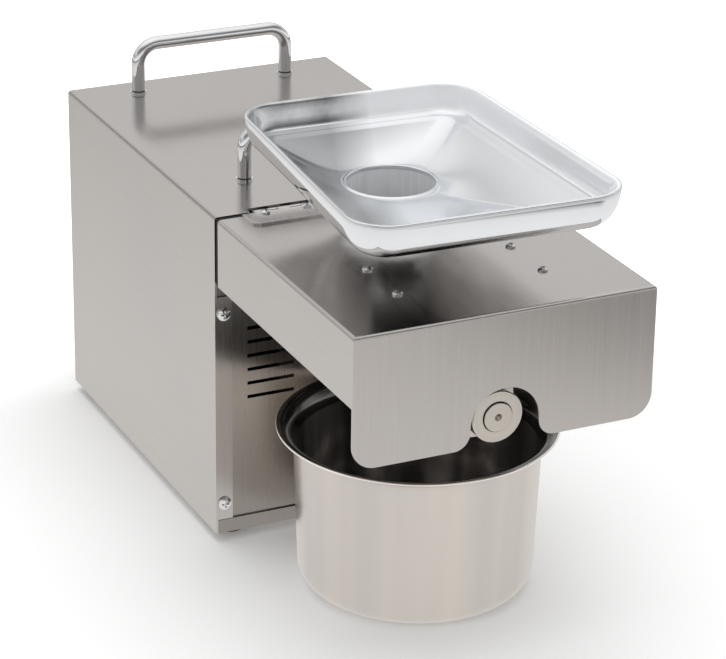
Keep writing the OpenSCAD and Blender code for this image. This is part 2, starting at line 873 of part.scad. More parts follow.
module press_nozzle() {
    seat = chamber_l - nozzle_in;
    color(steel) press_frame() rotate_extrude() polygon([
        [bore_r, seat], [nozzle_body_r, seat], [nozzle_body_r, chamber_l], [nozzle_r, chamber_l],
        [nozzle_r, nozzle_l - edge_r], [nozzle_r - edge_r, nozzle_l],
        [nozzle_bore_r + land_edge, nozzle_l], [nozzle_bore_r, nozzle_l - land_edge],
        [nozzle_bore_r, nozzle_l - nozzle_land]]);
}

// Sector of the flight's section, as wide as its share of a turn
function flight_outline(r, inner, share) = concat([[0, 0]],
    [for (i = [0 : flight_arc_steps]) let (a = 360 * share * i / flight_arc_steps)
        [r * cos(a), r * sin(a)]]);

module press_screw() {
    tip_end = nozzle_l + tip_out;
    turns = (flight_end - flight_start) / flight_pitch;
    color(bright) press_frame() difference() {
        union() {
            rotate_extrude() polygon([
                [0, -sheet_t], [journal_r, -sheet_t], [journal_r, end_wall + seam],
                [core_start_r, end_wall + 2 * seam], [core_end_r, core_end],
                [tip_r, tip_start], [tip_r, tip_end - land_edge],
                [tip_r - land_edge, tip_end], [0, tip_end]]);
            translate([-tail_w / 2, -tail_w / 2, -sheet_t - tail_l])
                cube([tail_w, tail_w, tail_l + sheet_t]);
            translate([0, 0, flight_start])
                linear_extrude(flight_end - flight_start, twist = -360 * turns,
                    slices = flight_slices, segments = 1)
                    polygon(flight_outline(bore_r - flight_gap, core_start_r, flight_share));
        }
        translate([0, 0, tip_end - tip_hole]) cylinder(r1 = 0, r2 = tip_hole_r, h = tip_hole);
    }
}

module chamber_socket() {
    color(alloy) press_frame() difference() {
        union() {
            translate([0, 0, -sheet_t]) cylinder(r = socket_r, h = socket_out + sheet_t);
            translate([0, 0, -sheet_t]) cylinder(r = socket_flange_r, h = socket_flange_t);
        }
        translate([0, 0, -sheet_t - cut]) cylinder(r = socket_bore_r, h = socket_out + sheet_t + 2 * cut);
        translate([0, 0, clamp_out]) rotate([0, 90, 0])
            cylinder(r = clamp_r + run_fit, h = socket_r + cut);
        for (a = [45 : 90 : 315]) rotate([0, 0, a])
            translate([socket_pcd_r, 0, -sheet_t - cut])
                cylinder(r = screw_r + hole_fit, h = socket_flange_t + 2 * cut);
    }
}

module socket_screws() {
    color(bright) press_frame() for (a = [45 : 90 : 315]) rotate([0, 0, a])
        translate([socket_pcd_r, 0, socket_flange_t - sheet_t])
            pan_screw(screw_r, small_head_r, screw_head_h, screw_l);
}

// Thumb bolt through the socket's wall, bearing on the chamber's spigot
module clamp_bolt() {
    color(black) press_frame() translate([spigot_r + seam, 0, clamp_out]) rotate([0, 90, 0])
        difference() {
            union() {
                cylinder(r = clamp_r, h = clamp_head_x - spigot_r);
                translate([0, 0, clamp_head_x - spigot_r]) cylinder(r = clamp_head_r, h = clamp_head_l);
            }
            for (i = [0 : clamp_grooves - 1]) rotate([0, 0, 360 * i / clamp_grooves])
                translate([clamp_head_r, 0, clamp_head_x - spigot_r - cut])
                    cylinder(r = clamp_groove_r, h = clamp_head_l + 2 * cut);
        }
}

// Quarter arc from angle a to b about [x, y]
function arc(x, y, r, a, b, steps) = [for (i = [0 : steps]) let (t = a + (b - a) * i / steps)
    [x + r * cos(t), y + r * sin(t)]];

module oil_bowl() {
    lip_r = bowl_rim_r - bowl_r;
    color(steel) translate([0, face_y - bowl_y, 0]) rotate_extrude($fn = 96) polygon(concat(
        [[0, 0]],
        arc(bowl_base_r - bowl_edge, bowl_edge, bowl_edge, -90, 0, bowl_arc_steps),
        [[bowl_r, bowl_h - bowl_lip]],
        arc(bowl_rim_r, bowl_h - bowl_lip, lip_r, 180, 90, bowl_arc_steps),
        [[bowl_rim_r, bowl_h]],
        arc(bowl_rim_r, bowl_h - bowl_lip, lip_r + bowl_t, 90, 180, bowl_arc_steps),
        arc(bowl_base_r - bowl_edge, bowl_edge, bowl_edge - bowl_t, 0, -90, bowl_arc_steps),
        [[0, bowl_t]]));
}

// Involute gear outline with its first tooth centred on +X
function involute(t) = t * 180 / PI - atan(t);
function roll(rb, r) = sqrt(max(r / rb, 1) * max(r / rb, 1) - 1);
function flank(m, z, r) = let (rp = m * z / 2, rb = rp * cos(pressure_angle))
    90 / z - backlash * 90 / PI / rp + involute(roll(rb, rp)) - involute(roll(rb, r));
function polar(r, a) = [r * cos(a), r * sin(a)];
function tooth(m, z, steps) = let (
    rp = m * z / 2, root = rp - dedendum_share * m, start = max(root, rp * cos(pressure_angle)), tip = rp + m,
    radii = [for (i = [0 : steps]) start + (tip - start) * i / steps], edge = flank(m, z, start))
    concat(root < start ? [polar(root, -edge)] : [],
        [for (r = radii) polar(r, -flank(m, z, r))],
        [for (i = [steps : -1 : 0]) polar(radii[i], flank(m, z, radii[i]))],
        root < start ? [polar(root, edge)] : []);
function rotated(points, a) = [for (p = points)
    [p[0] * cos(a) - p[1] * sin(a), p[0] * sin(a) + p[1] * cos(a)]];
module gear_outline(m, z, steps, phase) {
    one = tooth(m, z, steps);
    polygon([for (k = [0 : z - 1]) each rotated(one, phase + 360 * k / z)]);
}

// Solid inside the gearbox, narrower than its walls by inset
module gearbox_outline(inset) {
    translate([-case_left + inset, case_low + inset])
        square([case_left + case_right - 2 * inset, case_high - case_low - 2 * inset]);
}

module gearbox_case() {
    color(alloy) difference() {
        along_y(gearbox_front, case_l) gearbox_outline(0);
        along_y(gearbox_front + case_front_t, case_l) gearbox_outline(wall_t);
        rod_y(output_r + bearing_ring, gearbox_front - cut, case_front_t + 2 * cut, 0, screw_z);
        rod_y(lay_r + bearing_ring, gearbox_front + wall_t, case_front_t, lay_x, lay_z);
        for (a = [45 : 90 : 315])
            rod_y(screw_r, gearbox_front - cut, screw_l,
                socket_pcd_r * cos(a), screw_z + socket_pcd_r * sin(a));
    }
}

module gearbox_cover() {
    color(alloy) difference() {
        along_y(case_rear, cover_t) gearbox_outline(0);
        rod_y(output_tail_r + bearing_ring, case_rear - cut, wall_t + cut, 0, screw_z);
        rod_y(lay_r + bearing_ring, case_rear - cut, wall_t + cut, lay_x, lay_z);
        rod_y(pinion_tip_r + run_fit, case_rear - cut, cover_t + 2 * cut, 0, motor_z);
    }
}

// Plain ring standing for a ball bearing
module bearing(r, start, length, x, z) {
    difference() {
        rod_y(r + bearing_ring, start, length, x, z);
        rod_y(r + run_fit, start - cut, length + 2 * cut, x, z);
    }
}

module gearbox_bearings() {
    color(dark_steel) {
        bearing(output_r, gearbox_front, case_front_t, 0, screw_z);
        bearing(output_tail_r, case_rear, wall_t, 0, screw_z);
        bearing(lay_r, gearbox_front + wall_t, case_front_t - wall_t, lay_x, lay_z);
        bearing(lay_r, case_rear, wall_t, lay_x, lay_z);
    }
}

module output_shaft() {
    nose = sheet_t - 2 * seam;
    hub_end = gearbox_front + output_gear_y + wheel_w + seam;
    hole_w = tail_w + 2 * tail_gap;
    color(dark_steel) difference() {
        union() {
            rod_y(output_r, gearbox_front - nose, hub_end - gearbox_front + nose, 0, screw_z);
            rod_y(output_tail_r, gearbox_front, case_l + wall_t - seam, 0, screw_z);
        }
        translate([-hole_w / 2, gearbox_front - nose - cut, screw_z - hole_w / 2])
            cube([hole_w, tail_l + cut, hole_w]);
    }
}

module output_gear() {
    color(dark_steel) difference() {
        translate([0, 0, screw_z]) along_y(gearbox_front + output_gear_y, wheel_w)
            gear_outline(gear_m, wheel_teeth, 1, wheel_angle_out);
        rod_y(output_r, gearbox_front, case_l, 0, screw_z);
    }
}

module layshaft() {
    color(dark_steel) union() {
        rod_y(lay_r, gearbox_front + wall_t + seam, case_l - 2 * seam, lay_x, lay_z);
        translate([lay_x, 0, lay_z]) along_y(gearbox_front + output_gear_y - seam, pinion_w)
            gear_outline(gear_m, pinion_teeth, 3, out_dir);
    }
}

module layshaft_gear() {
    color(dark_steel) difference() {
        translate([lay_x, 0, lay_z]) along_y(gearbox_front + small_wheel_y, small_wheel_w)
            gear_outline(gear_m, wheel_teeth, 1, wheel_angle_lay);
        rod_y(lay_r, gearbox_front, case_l, lay_x, lay_z);
    }
}

module motor_pinion() {
    color(dark_steel) difference() {
        translate([0, 0, motor_z]) along_y(gearbox_front + small_wheel_y - seam, pinion_w - seam)
            gear_outline(gear_m, pinion_teeth, 3, lay_dir);
        rod_y(pinion_bore_r, gearbox_front, case_l, 0, motor_z);
    }
}

module motor_shaft() {
    lead = bell_front - (gearbox_front + small_wheel_y - seam);
    color(bright) {
        rod_y(pinion_bore_r, bell_front - lead, lead + bell_t, 0, motor_z);
        rod_y(shaft_r, bell_front + seam, fan_y + fan_l, 0, motor_z);
    }
}

module armature() {
    start = bell_front + armature_y;
    color(copper) difference() {
        union() {
            rod_y(armature_r, start, armature_l, 0, motor_z);
            for (y = [start, start + armature_l])
                translate([0, y, motor_z]) rotate([90, 0, 0]) rotate_extrude()
                    translate([armature_r - slot_depth, 0]) circle(winding_r, $fn = hull_fn);
        }
        for (i = [0 : slot_count - 1]) translate([0, start - cut, motor_z])
            rotate([0, 360 * i / slot_count, 0])
                translate([armature_r - slot_depth / 2, 0, -slot_w / 2])
                    cube([slot_depth, armature_l + 2 * cut, slot_w]);
        rod_y(shaft_r, start - cut - winding_r, armature_l + 2 * cut + 2 * winding_r, 0, motor_z);
    }
}

module commutator() {
    color(copper) difference() {
        rod_y(commutator_r, bell_front + commutator_y - commutator_l, commutator_l, 0, motor_z);
        rod_y(shaft_r, bell_front, motor_l, 0, motor_z);
    }
}

module cooling_fan() {
    color(black) difference() {
        union() {
            rod_y(fan_hub_r, bell_front + fan_y, fan_l, 0, motor_z);
            for (i = [0 : fan_blades - 1]) translate([0, bell_front + fan_y + fan_l / 2, motor_z])
                rotate([0, 360 * i / fan_blades, 0]) rotate([blade_tilt, 0, 0])
                    translate([fan_hub_r - blade_t, -fan_l / 2, -blade_t / 2])
                        cube([fan_r - fan_hub_r, fan_l, blade_t]);
        }
        rod_y(shaft_r, bell_front, motor_l + fan_y, 0, motor_z);
    }
}

module motor_shell() {
    color(dark_steel) difference() {
        rod_y(motor_r, bell_front + bell_t, motor_l - 2 * bell_t, 0, motor_z);
        rod_y(motor_r - shell_t, bell_front, motor_l, 0, motor_z);
    }
}

module motor_magnets() {
    color(black) for (s = [0, 180]) translate([0, bell_front + armature_y + armature_l, motor_z])
        rotate([90, 0, 0]) rotate([0, 0, s - magnet_arc / 2]) rotate_extrude(angle = magnet_arc)
            translate([armature_r + air_gap, 0])
                square([magnet_t - hole_fit, armature_l]);
}

// End bell with a bearing seat for the shaft
module bell(start, r_bore) {
    difference() {
        rod_y(motor_r, start, bell_t, 0, motor_z);
        rod_y(r_bore + run_fit, start - cut, bell_t + 2 * cut, 0, motor_z);
    }
}

module motor_front_bell() {
    color(alloy) bell(bell_front, shaft_r);
}

module motor_rear_bell() {
    color(alloy) bell(bell_front + motor_l - bell_t, shaft_r);
}

module motor_brushes() {
    y = bell_front + commutator_y - commutator_l / 2;
    color(black) for (s = [-1, 1])
        translate([s * (commutator_r + seam + brush_l / 2) - brush_l / 2, y - commutator_l / 2,
            motor_z - brush_w / 2])
            cube([brush_l, commutator_l, brush_w]);
}

// Folded bracket that carries the gearbox on the base
module gearbox_bracket() {
    low = foot_h + sheet_t;
    y = gearbox_front + wall_t;
    depth = case_l - 2 * wall_t;
    color(dark_steel) {
        translate([-bracket_w / 2, y, case_low - bracket_t]) cube([bracket_w, depth, bracket_t]);
        for (s = [-1, 1]) {
            translate([s * (bracket_w - bracket_t) / 2 - bracket_t / 2, y, low])
                cube([bracket_t, depth, case_low - bracket_t - low]);
            translate([s * (bracket_w + bracket_foot) / 2 - bracket_foot / 2, y, low])
                cube([bracket_foot, depth, bracket_t]);
        }
    }
}

// Saddle under the motor
module motor_cradle() {
    low = foot_h + sheet_t;
    color(black) difference() {
        translate([-cradle_w / 2, bell_front + motor_l / 2, low])
            cube([cradle_w, cradle_l, (motor_z - low) / 2]);
        rod_y(motor_r, bell_front, motor_l, 0, motor_z);
    }
}

// Corners of the control board, as y and z
function board_spots() = [for (y = [board_y + 2 * standoff_r, board_y + board_l - 2 * standoff_r],
    z = [board_z + 2 * standoff_r, board_z + board_h - 2 * standoff_r]) [y, z]];

module board_bracket() {
    low = foot_h + sheet_t;
    x = board_x + standoff_l;
    color(dark_steel) {
        translate([x, face_y + board_y, low]) cube([sheet_t, board_l, board_z + board_h - low]);
        translate([x - bracket_foot, face_y + board_y, low]) cube([bracket_foot, board_l, sheet_t]);
        for (p = board_spots()) translate([board_x, face_y + p[0], p[1]]) rotate([0, 90, 0])
            cylinder(r = standoff_r, h = standoff_l);
    }
}

module control_board() {
    color(board_green) translate([board_x - board_t, face_y + board_y, board_z])
        cube([board_t, board_l, board_h]);
}

// Relay, capacitor and heat sink, standing on the board's inner face
module board_parts() {
    x = board_x - board_t;
    y = face_y + board_y;
    color(black) {
        translate([x - part_out, y + relay_h, board_z + board_h - 2 * relay_h])
            cube([part_out, relay_l, relay_h]);
        translate([x - part_out, y + board_l - relay_l, board_z + relay_h]) rotate([0, 90, 0])
            cylinder(r = cap_r, h = part_out);
        translate([x - sink_fin, y + cap_r, board_z + cap_r]) cube([sink_fin, sink_l, sink_h]);
        for (i = [0 : floor(sink_h / (sink_fin + sink_gap))])
            translate([x - part_out, y + cap_r, board_z + cap_r + i * (sink_fin + sink_gap)])
                cube([part_out, sink_l, sink_fin]);
    }
}

module mains_inlet() {
    color(black) difference() {
        union() {
            translate([inlet_x - inlet_w / 2, panel_rear, socket_z - inlet_h / 2])
                cube([inlet_w, inlet_t, inlet_h]);
            translate([inlet_x - inlet_w / 2 + inlet_t, panel_rear - inlet_deep,
                socket_z - inlet_h / 2 + inlet_t])
                cube([inlet_w - 2 * inlet_t, inlet_deep, inlet_h - 2 * inlet_t]);
        }
        translate([inlet_x - recess_w / 2, panel_rear + inlet_t - recess_deep, socket_z - recess_h / 2])
            cube([recess_w, recess_deep + cut, recess_h]);
        inlet_blades(pin_l);
    }
}

// The inlet's three blades, ending inlet_pin_short behind the mouth
module inlet_blades(length) {
    for (p = [[-pin_gap, -pin_w], [0, pin_w], [pin_gap, -pin_w]])
        translate([inlet_x + p[0] - pin_w / 2, panel_rear + inlet_t - inlet_pin_short - length,
            socket_z + p[1] - pin_h / 2])
            cube([pin_w, length, pin_h]);
}

module inlet_pins() {
    color(bright) inlet_blades(pin_l);
}

// Insulated wire along straight runs, with a bead at each corner
module wire(points) {
    for (i = [1 : len(points) - 1]) {
        run = points[i] - points[i - 1];
        translate(points[i - 1]) rotate([0, acos(run[2] / norm(run)), atan2(run[1], run[0])])
            cylinder(r = wire_r, h = norm(run));
        if (i < len(points) - 1) translate(points[i]) sphere(r = wire_r + wire_bead);
    }
}

// Wires from the inlet to the power switch, from the other switch to the board, and to the motor
module wiring() {
    inlet_back = panel_rear - inlet_deep;
    switch_back = panel_rear - switch_deep;
    turn = inlet_back - wire_out;
    face_x = board_x - board_t;
    high = board_z + board_h - board_wire_in;
    far = face_y + board_y + board_l - board_wire_in;
    near = far - 2 * wire_out;
    bell_back = bell_front + motor_l;
    gap_y = bell_back + motor_wire_out;
    side_x = face_x - wire_out;
    low = motor_z + motor_wire_r / 2;
    color([0.55, 0.08, 0.06]) {
        wire([[inlet_x, inlet_back, socket_z], [inlet_x, turn, socket_z],
            [power_x, turn, socket_z], [power_x, switch_back, socket_z]]);
        wire([[direction_x, switch_back, socket_z], [direction_x, near, socket_z],
            [direction_x, near, high], [face_x, near, high]]);
        wire([[face_x, far, high], [side_x, far, high], [side_x, gap_y, high],
            [motor_wire_r, gap_y, low], [motor_wire_r, bell_back, low]]);
    }
}

module switch_frame(x) {
    opening_w = rocker_w + 2 * rocker_gap;
    opening_h = rocker_h + 4 * rocker_gap;
    deep = rocker_back + rocker_edge + inlet_t;
    color(black) difference() {
        union() {
            translate([x - switch_w / 2, panel_rear, socket_z - switch_h / 2])
                cube([switch_w, inlet_t, switch_h]);
            translate([x - (switch_w - inlet_t) / 2, panel_rear - switch_deep,
                socket_z - (switch_h - inlet_t) / 2])
                cube([switch_w - inlet_t, switch_deep, switch_h - inlet_t]);
        }
        translate([x - opening_w / 2, panel_rear + inlet_t - deep, socket_z - opening_h / 2])
            cube([opening_w, deep + cut, opening_h]);
        translate([x - rocker_w / 2 - trunnion_l, rocker_y, socket_z]) rotate([0, 90, 0])
            cylinder(r = trunnion_r + run_fit, h = rocker_w + 2 * trunnion_l);
    }
}

// Rocker with a shallow hollow face and a trunnion at each side, tilted about them
module rocker(x, tilt) {
    color([0.15, 0.15, 0.16]) translate([x, rocker_y, socket_z]) rotate([tilt, 0, 0]) union() {
        along_x(-rocker_w / 2, rocker_w) polygon([
            [rocker_high, -rocker_h / 2], [rocker_low + rocker_high / 2, 0], [rocker_high, rocker_h / 2],
            [-rocker_edge, rocker_h / 2], [-rocker_back, rocker_h / 6],
            [-rocker_back, -rocker_h / 6], [-rocker_edge, -rocker_h / 2]]);
        translate([-rocker_w / 2 - trunnion_l + seam, 0, 0]) rotate([0, 90, 0])
            cylinder(r = trunnion_r, h = rocker_w + 2 * (trunnion_l - seam));
    }
}

casing();
front_panel();
rear_panel();
base_plate();
foot(-1, face_y + foot_in_y);  // foot_front_left
foot(1, face_y + foot_in_y);  // foot_front_right
foot(-1, rear_y - foot_in_y);  // foot_rear_left
foot(1, rear_y - foot_in_y);  // foot_rear_right
foot_screws();
casing_screws();
handle(front_handle_y);  // front_handle
handle(rear_handle_y);  // rear_handle
handle_screws();
cover();
cover_screws();
heat_shield();
cover_leaf(-1);  // left_hinge_cover_leaf
body_leaf(-1);  // left_hinge_body_leaf
hinge_pin(-1);  // left_hinge_pin
cover_leaf(1);  // right_hinge_cover_leaf
body_leaf(1);  // right_hinge_body_leaf
hinge_pin(1);  // right_hinge_pin
hinge_screws();
feed_tray();
press_chamber();
press_nozzle();
press_screw();
chamber_socket();
socket_screws();
clamp_bolt();
oil_bowl();
gearbox_case();
gearbox_cover();
gearbox_bearings();
output_shaft();
output_gear();
layshaft();
layshaft_gear();
motor_pinion();
motor_shaft();
armature();
commutator();
cooling_fan();
motor_shell();
motor_magnets();
motor_front_bell();
motor_rear_bell();
motor_brushes();
gearbox_bracket();
motor_cradle();
board_bracket();
control_board();
board_parts();
mains_inlet();
inlet_pins();
wiring();
switch_frame(power_x);  // power_switch_frame
rocker(power_x, rocker_swing);  // power_rocker
switch_frame(direction_x);  // direction_switch_frame
rocker(direction_x, 0);  // direction_rocker
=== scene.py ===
"""Dresses a countertop oil press in brushed steel, polished cast metal and chrome, on a white table."""

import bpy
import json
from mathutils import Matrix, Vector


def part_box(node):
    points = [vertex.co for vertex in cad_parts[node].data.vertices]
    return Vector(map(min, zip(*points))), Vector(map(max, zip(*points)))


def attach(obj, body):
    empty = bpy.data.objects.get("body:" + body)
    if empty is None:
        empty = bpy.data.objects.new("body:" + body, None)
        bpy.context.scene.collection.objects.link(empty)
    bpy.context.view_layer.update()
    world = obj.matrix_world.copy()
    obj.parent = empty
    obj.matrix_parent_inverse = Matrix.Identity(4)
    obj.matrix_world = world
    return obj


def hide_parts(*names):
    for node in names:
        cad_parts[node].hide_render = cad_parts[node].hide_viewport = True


bl_info = {
    "name": "Oil press dresser",
    "version": (1, 0, 0),
    "blender": (4, 5, 0),
    "location": "View3D > Sidebar > Oil press",
    "description": "Finishes, tray, bowl and stage for a countertop oil press",
    "category": "Object",
}

import json
import math

import bmesh
import bpy
from mathutils import Vector

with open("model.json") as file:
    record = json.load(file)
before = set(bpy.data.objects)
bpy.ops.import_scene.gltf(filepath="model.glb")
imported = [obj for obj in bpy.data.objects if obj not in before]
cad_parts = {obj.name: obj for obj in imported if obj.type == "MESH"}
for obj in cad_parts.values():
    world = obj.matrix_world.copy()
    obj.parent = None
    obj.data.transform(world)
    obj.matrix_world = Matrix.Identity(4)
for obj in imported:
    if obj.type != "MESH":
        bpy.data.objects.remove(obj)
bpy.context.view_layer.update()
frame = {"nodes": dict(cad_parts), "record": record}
MM = 0.001


class Value:
    """One output in a node tree, which Python's operators combine with other outputs or with numbers."""

    def __init__(self, tree, socket):
        self.tree = tree
        self.socket = socket

    def _math(self, operation, *terms):
        made = self.tree.nodes.new("ShaderNodeMath")
        made.operation = operation
        for index, term in enumerate(terms):
            feed(self.tree, made.inputs[index], term)
        return Value(self.tree, made.outputs[0])

    def __add__(self, other):
        return self._math("ADD", self, other)

    def __radd__(self, other):
        return self._math("ADD", other, self)

    def __sub__(self, other):
        return self._math("SUBTRACT", self, other)

    def __rsub__(self, other):
        return self._math("SUBTRACT", other, self)

    def __mul__(self, other):
        return self._math("MULTIPLY", self, other)

    def __rmul__(self, other):
        return self._math("MULTIPLY", other, self)

    def __gt__(self, other):
        return self._math("GREATER_THAN", self, other)

    def __lt__(self, other):
        return self._math("LESS_THAN", self, other)

    def __abs__(self):
        return self._math("ABSOLUTE", self)

    def held(self):
        """The value held between 0 and 1."""
        return self._math("MINIMUM", self._math("MAXIMUM", self, 0.0), 1.0)

    def root(self):
        """The value's square root."""
        return self._math("SQRT", self)

    def highest(self, other):
        """The larger of two values."""
        return self._math("MAXIMUM", self, other)


def feed(tree, socket, term):
    """Links an output to a socket, or sets the value on it."""
    if isinstance(term, Value):
        tree.links.new(term.socket, socket)
    else:
        socket.default_value = term


class Graph:
    """The node tree of a material or world under construction."""

    def __init__(self, owner):
        owner.use_nodes = True
        self.tree = owner.node_tree
        self.tree.nodes.clear()

    def node(self, kind, settings=None, inputs=None, out=0):
        """Adds a node from its type, its settings and its sockets' values or links, and gives an output."""
        made = self.tree.nodes.new(kind)
        for name, setting in (settings or {}).items():
            if name == "stops":
                self.set_stops(made.color_ramp, setting)
            else:
                setattr(made, name, setting)
        for name, term in (inputs or {}).items():
            feed(self.tree, made.inputs[name], term)
        return Value(self.tree, made.outputs[out]) if made.outputs else None

    def set_stops(self, ramp, stops):
        """Places a ramp's stops, each a position and a grey."""
        for index, (at, grey) in enumerate(stops):
            stop = ramp.elements[index] if index < 2 else ramp.elements.new(at)
            stop.position = at
            stop.color = (grey, grey, grey, 1)

    def coordinates(self, kind="Object"):
        """The point in the piece's own frame, or another texture coordinate."""
        return self.node("ShaderNodeTexCoord", out=kind)

    def split(self, vector):
        """The three parts of a vector."""
        return [self.node("ShaderNodeSeparateXYZ", None, {"Vector": vector}, out) for out in "XYZ"]

    def join(self, x, y, z):
        """A vector from three values."""
        return self.node("ShaderNodeCombineXYZ", None, {"X": x, "Y": y, "Z": z})

    def stretch(self, vector, scales):
        """A vector with each of its parts multiplied."""
        return self.node("ShaderNodeVectorMath", {"operation": "MULTIPLY"}, {0: vector, 1: scales})

    def shade(self, colour, factor):
        """A colour made darker or lighter by a factor."""
        return self.node("ShaderNodeVectorMath", {"operation": "SCALE"}, {0: colour, "Scale": factor})

    def noise(self, vector, scale, detail=2.0, roughness=0.5):
        """Soft random values from 0 to 1, around one half."""
        return self.node("ShaderNodeTexNoise", {"noise_dimensions": "3D"},
            {"Vector": vector, "Scale": scale, "Detail": detail, "Roughness": roughness})

    def blend(self, factor, first, second):
        """A colour between two colours."""
        return self.node("ShaderNodeMix", {"data_type": "RGBA"}, {"Factor": factor, 6: first, 7: second}, 2)

    def pick(self, factor, first, second):
        """A vector between two vectors."""
        return self.node("ShaderNodeMix", {"data_type": "VECTOR"}, {"Factor": factor, 4: first, 5: second}, 1)

    def bump(self, height, strength, distance):
        """A normal tilted by a height field."""
        return self.node("ShaderNodeBump", None,
            {"Height": height, "Strength": strength, "Distance": distance})

    def around(self, x, y):
        """The distance of the point from an upright axis, and its offsets from it."""
        px, py, _ = self.split(self.coordinates())
        dx, dy = px - x, py - y
        return (dx * dx + dy * dy).root(), dx, dy


def rgba(colour):
    """A colour with full alpha."""
    return (*colour, 1.0)


def surface(name, build):
    """A material whose Principled shader takes its inputs from build(graph), a dictionary."""
    material = bpy.data.materials.new(name)
    graph = Graph(material)
    shader = graph.node("ShaderNodeBsdfPrincipled", None, build(graph))
    graph.node("ShaderNodeOutputMaterial", None, {"Surface": shader})
    return material


def brushed(name, tone, warm, rough=0.26, upright=False, fold=None):
    """Sheet brushed in long straight strokes: along Y, but upright on faces that look forward or back. An
    upright sheet has a painted highlight in a level band. Folds, given by a half width and a height, get
    painted dark reflections as lines."""
    highlight_band_z, fold_w = 85 * MM, 0.75 * MM

    def build(g):
        point = g.coordinates()
        along_y = g.stretch(point, (1.0, 0.006, 1.0))
        along_z = g.stretch(point, (1.0, 1.0, 0.006))
        _, ny, nz = g.split(g.coordinates("Normal"))
        strokes = along_z if upright else g.pick(abs(ny) > 0.7, along_y, along_z)
        fine = g.noise(strokes, 3600.0, 2.0, 0.6)
        broad = g.noise(strokes, 500.0, 2.0, 0.5)
        cloud = g.noise(point, 8.0, 1.0, 0.5)
        streak = (fine - 0.5) * 0.15 + (broad - 0.5) * (0.04 if upright else 0.08) + (cloud - 0.5) * 0.05
        x, _, z = g.split(point)
        if upright:
            # Painted highlight: a lighter level band on upright sheet, which is painted a little darker
            # elsewhere as shade
            painted_highlight_band = (1.0 - abs(z - highlight_band_z) * 14.0).held()
            streak = streak + painted_highlight_band * 0.60 - 0.16
        if fold:
            fold_x, fold_z = [edge - fold_w for edge in fold]
            # Painted reflection: dark lines along the casing's folds
            streak = streak - (abs(x) > fold_x) * (z > fold_z) * 0.62
        return {
            "Base Color": g.shade(g.blend(cloud, rgba(tone), rgba(warm)), 1.0 + streak),
            "Metallic": 1.0,
            "Roughness": rough + (broad - 0.5) * 0.06 + (fine - 0.5) * 0.04 - (nz > 0.7) * 0.08,
            "Normal": g.bump(fine, 0.04, 0.00002),
        }

    return surface(name, build)


def polished(name, tone, hole, lip, hole_r, rim):
    """Buffed cast metal with soft ripples left by casting, bored satin inside its round neck. It has a
    painted dark reflection inside left of a diagonal through the hole, and a painted white reflection on its
    walls right of it."""
    wall_h, floor_down = 13.5 * MM, 14.0 * MM

    def build(g):
        point = g.coordinates()
        _, _, z = g.split(point)
        nx, ny, _ = g.split(g.coordinates("Normal"))
        radius, dx, dy = g.around(*hole)
        bored = (radius < hole_r) * (z < lip)
        # Painted reflection: darker left of a diagonal through the hole, deeper towards the front
        left = ((dx * 0.9 - dy * 0.24 + 2.0 * MM) * -45.0).held()
        front = (dy * -20.0).held()
        inside = (nx * dx + ny * dy < 0.0) * (1.0 - bored) * (radius > hole_r)
        wall = inside * (z > rim - wall_h)
        floor = inside * (z < rim - floor_down)
        wave = g.noise(point, 22.0, 2.0, 0.5)
        cloud = g.noise(point, 48.0, 3.0, 0.6)
        hair = g.noise(g.stretch(point, (1.0, 0.2, 1.0)), 900.0, 2.0, 0.5)
        streak = g.noise(g.stretch(point, (1.0, 1.0, 0.05)), 380.0, 2.0, 0.6)
        # Painted reflections: walls whiter and less metallic right of the diagonal, darker and mottled left
        # of it
        white = wall * (1.0 - left)
        painted_reflection_dark = left * (floor * (0.52 + front * 0.34) + wall * (0.36 - (cloud - 0.5) * 0.9)) - white * 0.12
        shade = 1.0 + (cloud - 0.5) * 0.07 + bored * ((streak - 0.5) * 0.4 + 0.1) - painted_reflection_dark
        return {
            "Base Color": g.shade(tuple(tone), shade),
            "Metallic": 1.0 - bored * 0.75 - white * 0.88,
            "Roughness": 0.07 + (hair - 0.5) * 0.03 + (cloud - 0.5) * 0.04 + bored * 0.38 + floor * 0.05,
            "Normal": g.bump(wave, 0.5, 0.00018),
        }

    return surface(name, build)


def chromed(name, tone, rough=0.05, collar=None):
    """Bright plating with faint hairlines, and a dark joint line between two heights where one is given."""

    def build(g):
        point = g.coordinates()
        _, _, z = g.split(point)
        hair = g.noise(point, 700.0, 2.0, 0.5)
        cloud = g.noise(point, 40.0, 1.0, 0.5)
        shade = 1.0 - (cloud - 0.5) * 0.08
        if collar:
            shade = shade * (1.0 - (z > collar[0]) * (z < collar[1]) * 0.9)
        return {
            "Base Color": g.shade(tuple(tone), shade),
            "Metallic": 1.0,
            "Roughness": rough + (hair - 0.5) * 0.05,
            "Normal": g.bump(hair, 0.05, 0.00002),
        }

    return surface(name, build)


def turned(name, tone, axis_x, axis_z, rough=0.30):
    """Faced on a lathe: fine rings about a fore-and-aft axis at axis_x and axis_z."""

    def build(g):
        point = g.coordinates()
        x, y, z = g.split(point)
        dx, dz = x - axis_x, z - axis_z
        rings = g.join((dx * dx + dz * dz).root(), y, 0.0)
        fine = g.noise(rings, 2600.0, 2.0, 0.6)
        broad = g.noise(rings, 600.0, 2.0, 0.5)
        cloud = g.noise(point, 120.0, 2.0, 0.5)
        shade = 1.0 + (fine - 0.5) * 0.24 + (broad - 0.5) * 0.16 + (cloud - 0.5) * 0.08
        return {
            "Base Color": g.shade(tuple(tone), shade),
            "Metallic": 1.0,
            "Roughness": rough + (broad - 0.5) * 0.14,
            "Normal": g.bump(fine, 0.25, 0.00003),
        }

    return surface(name, build)


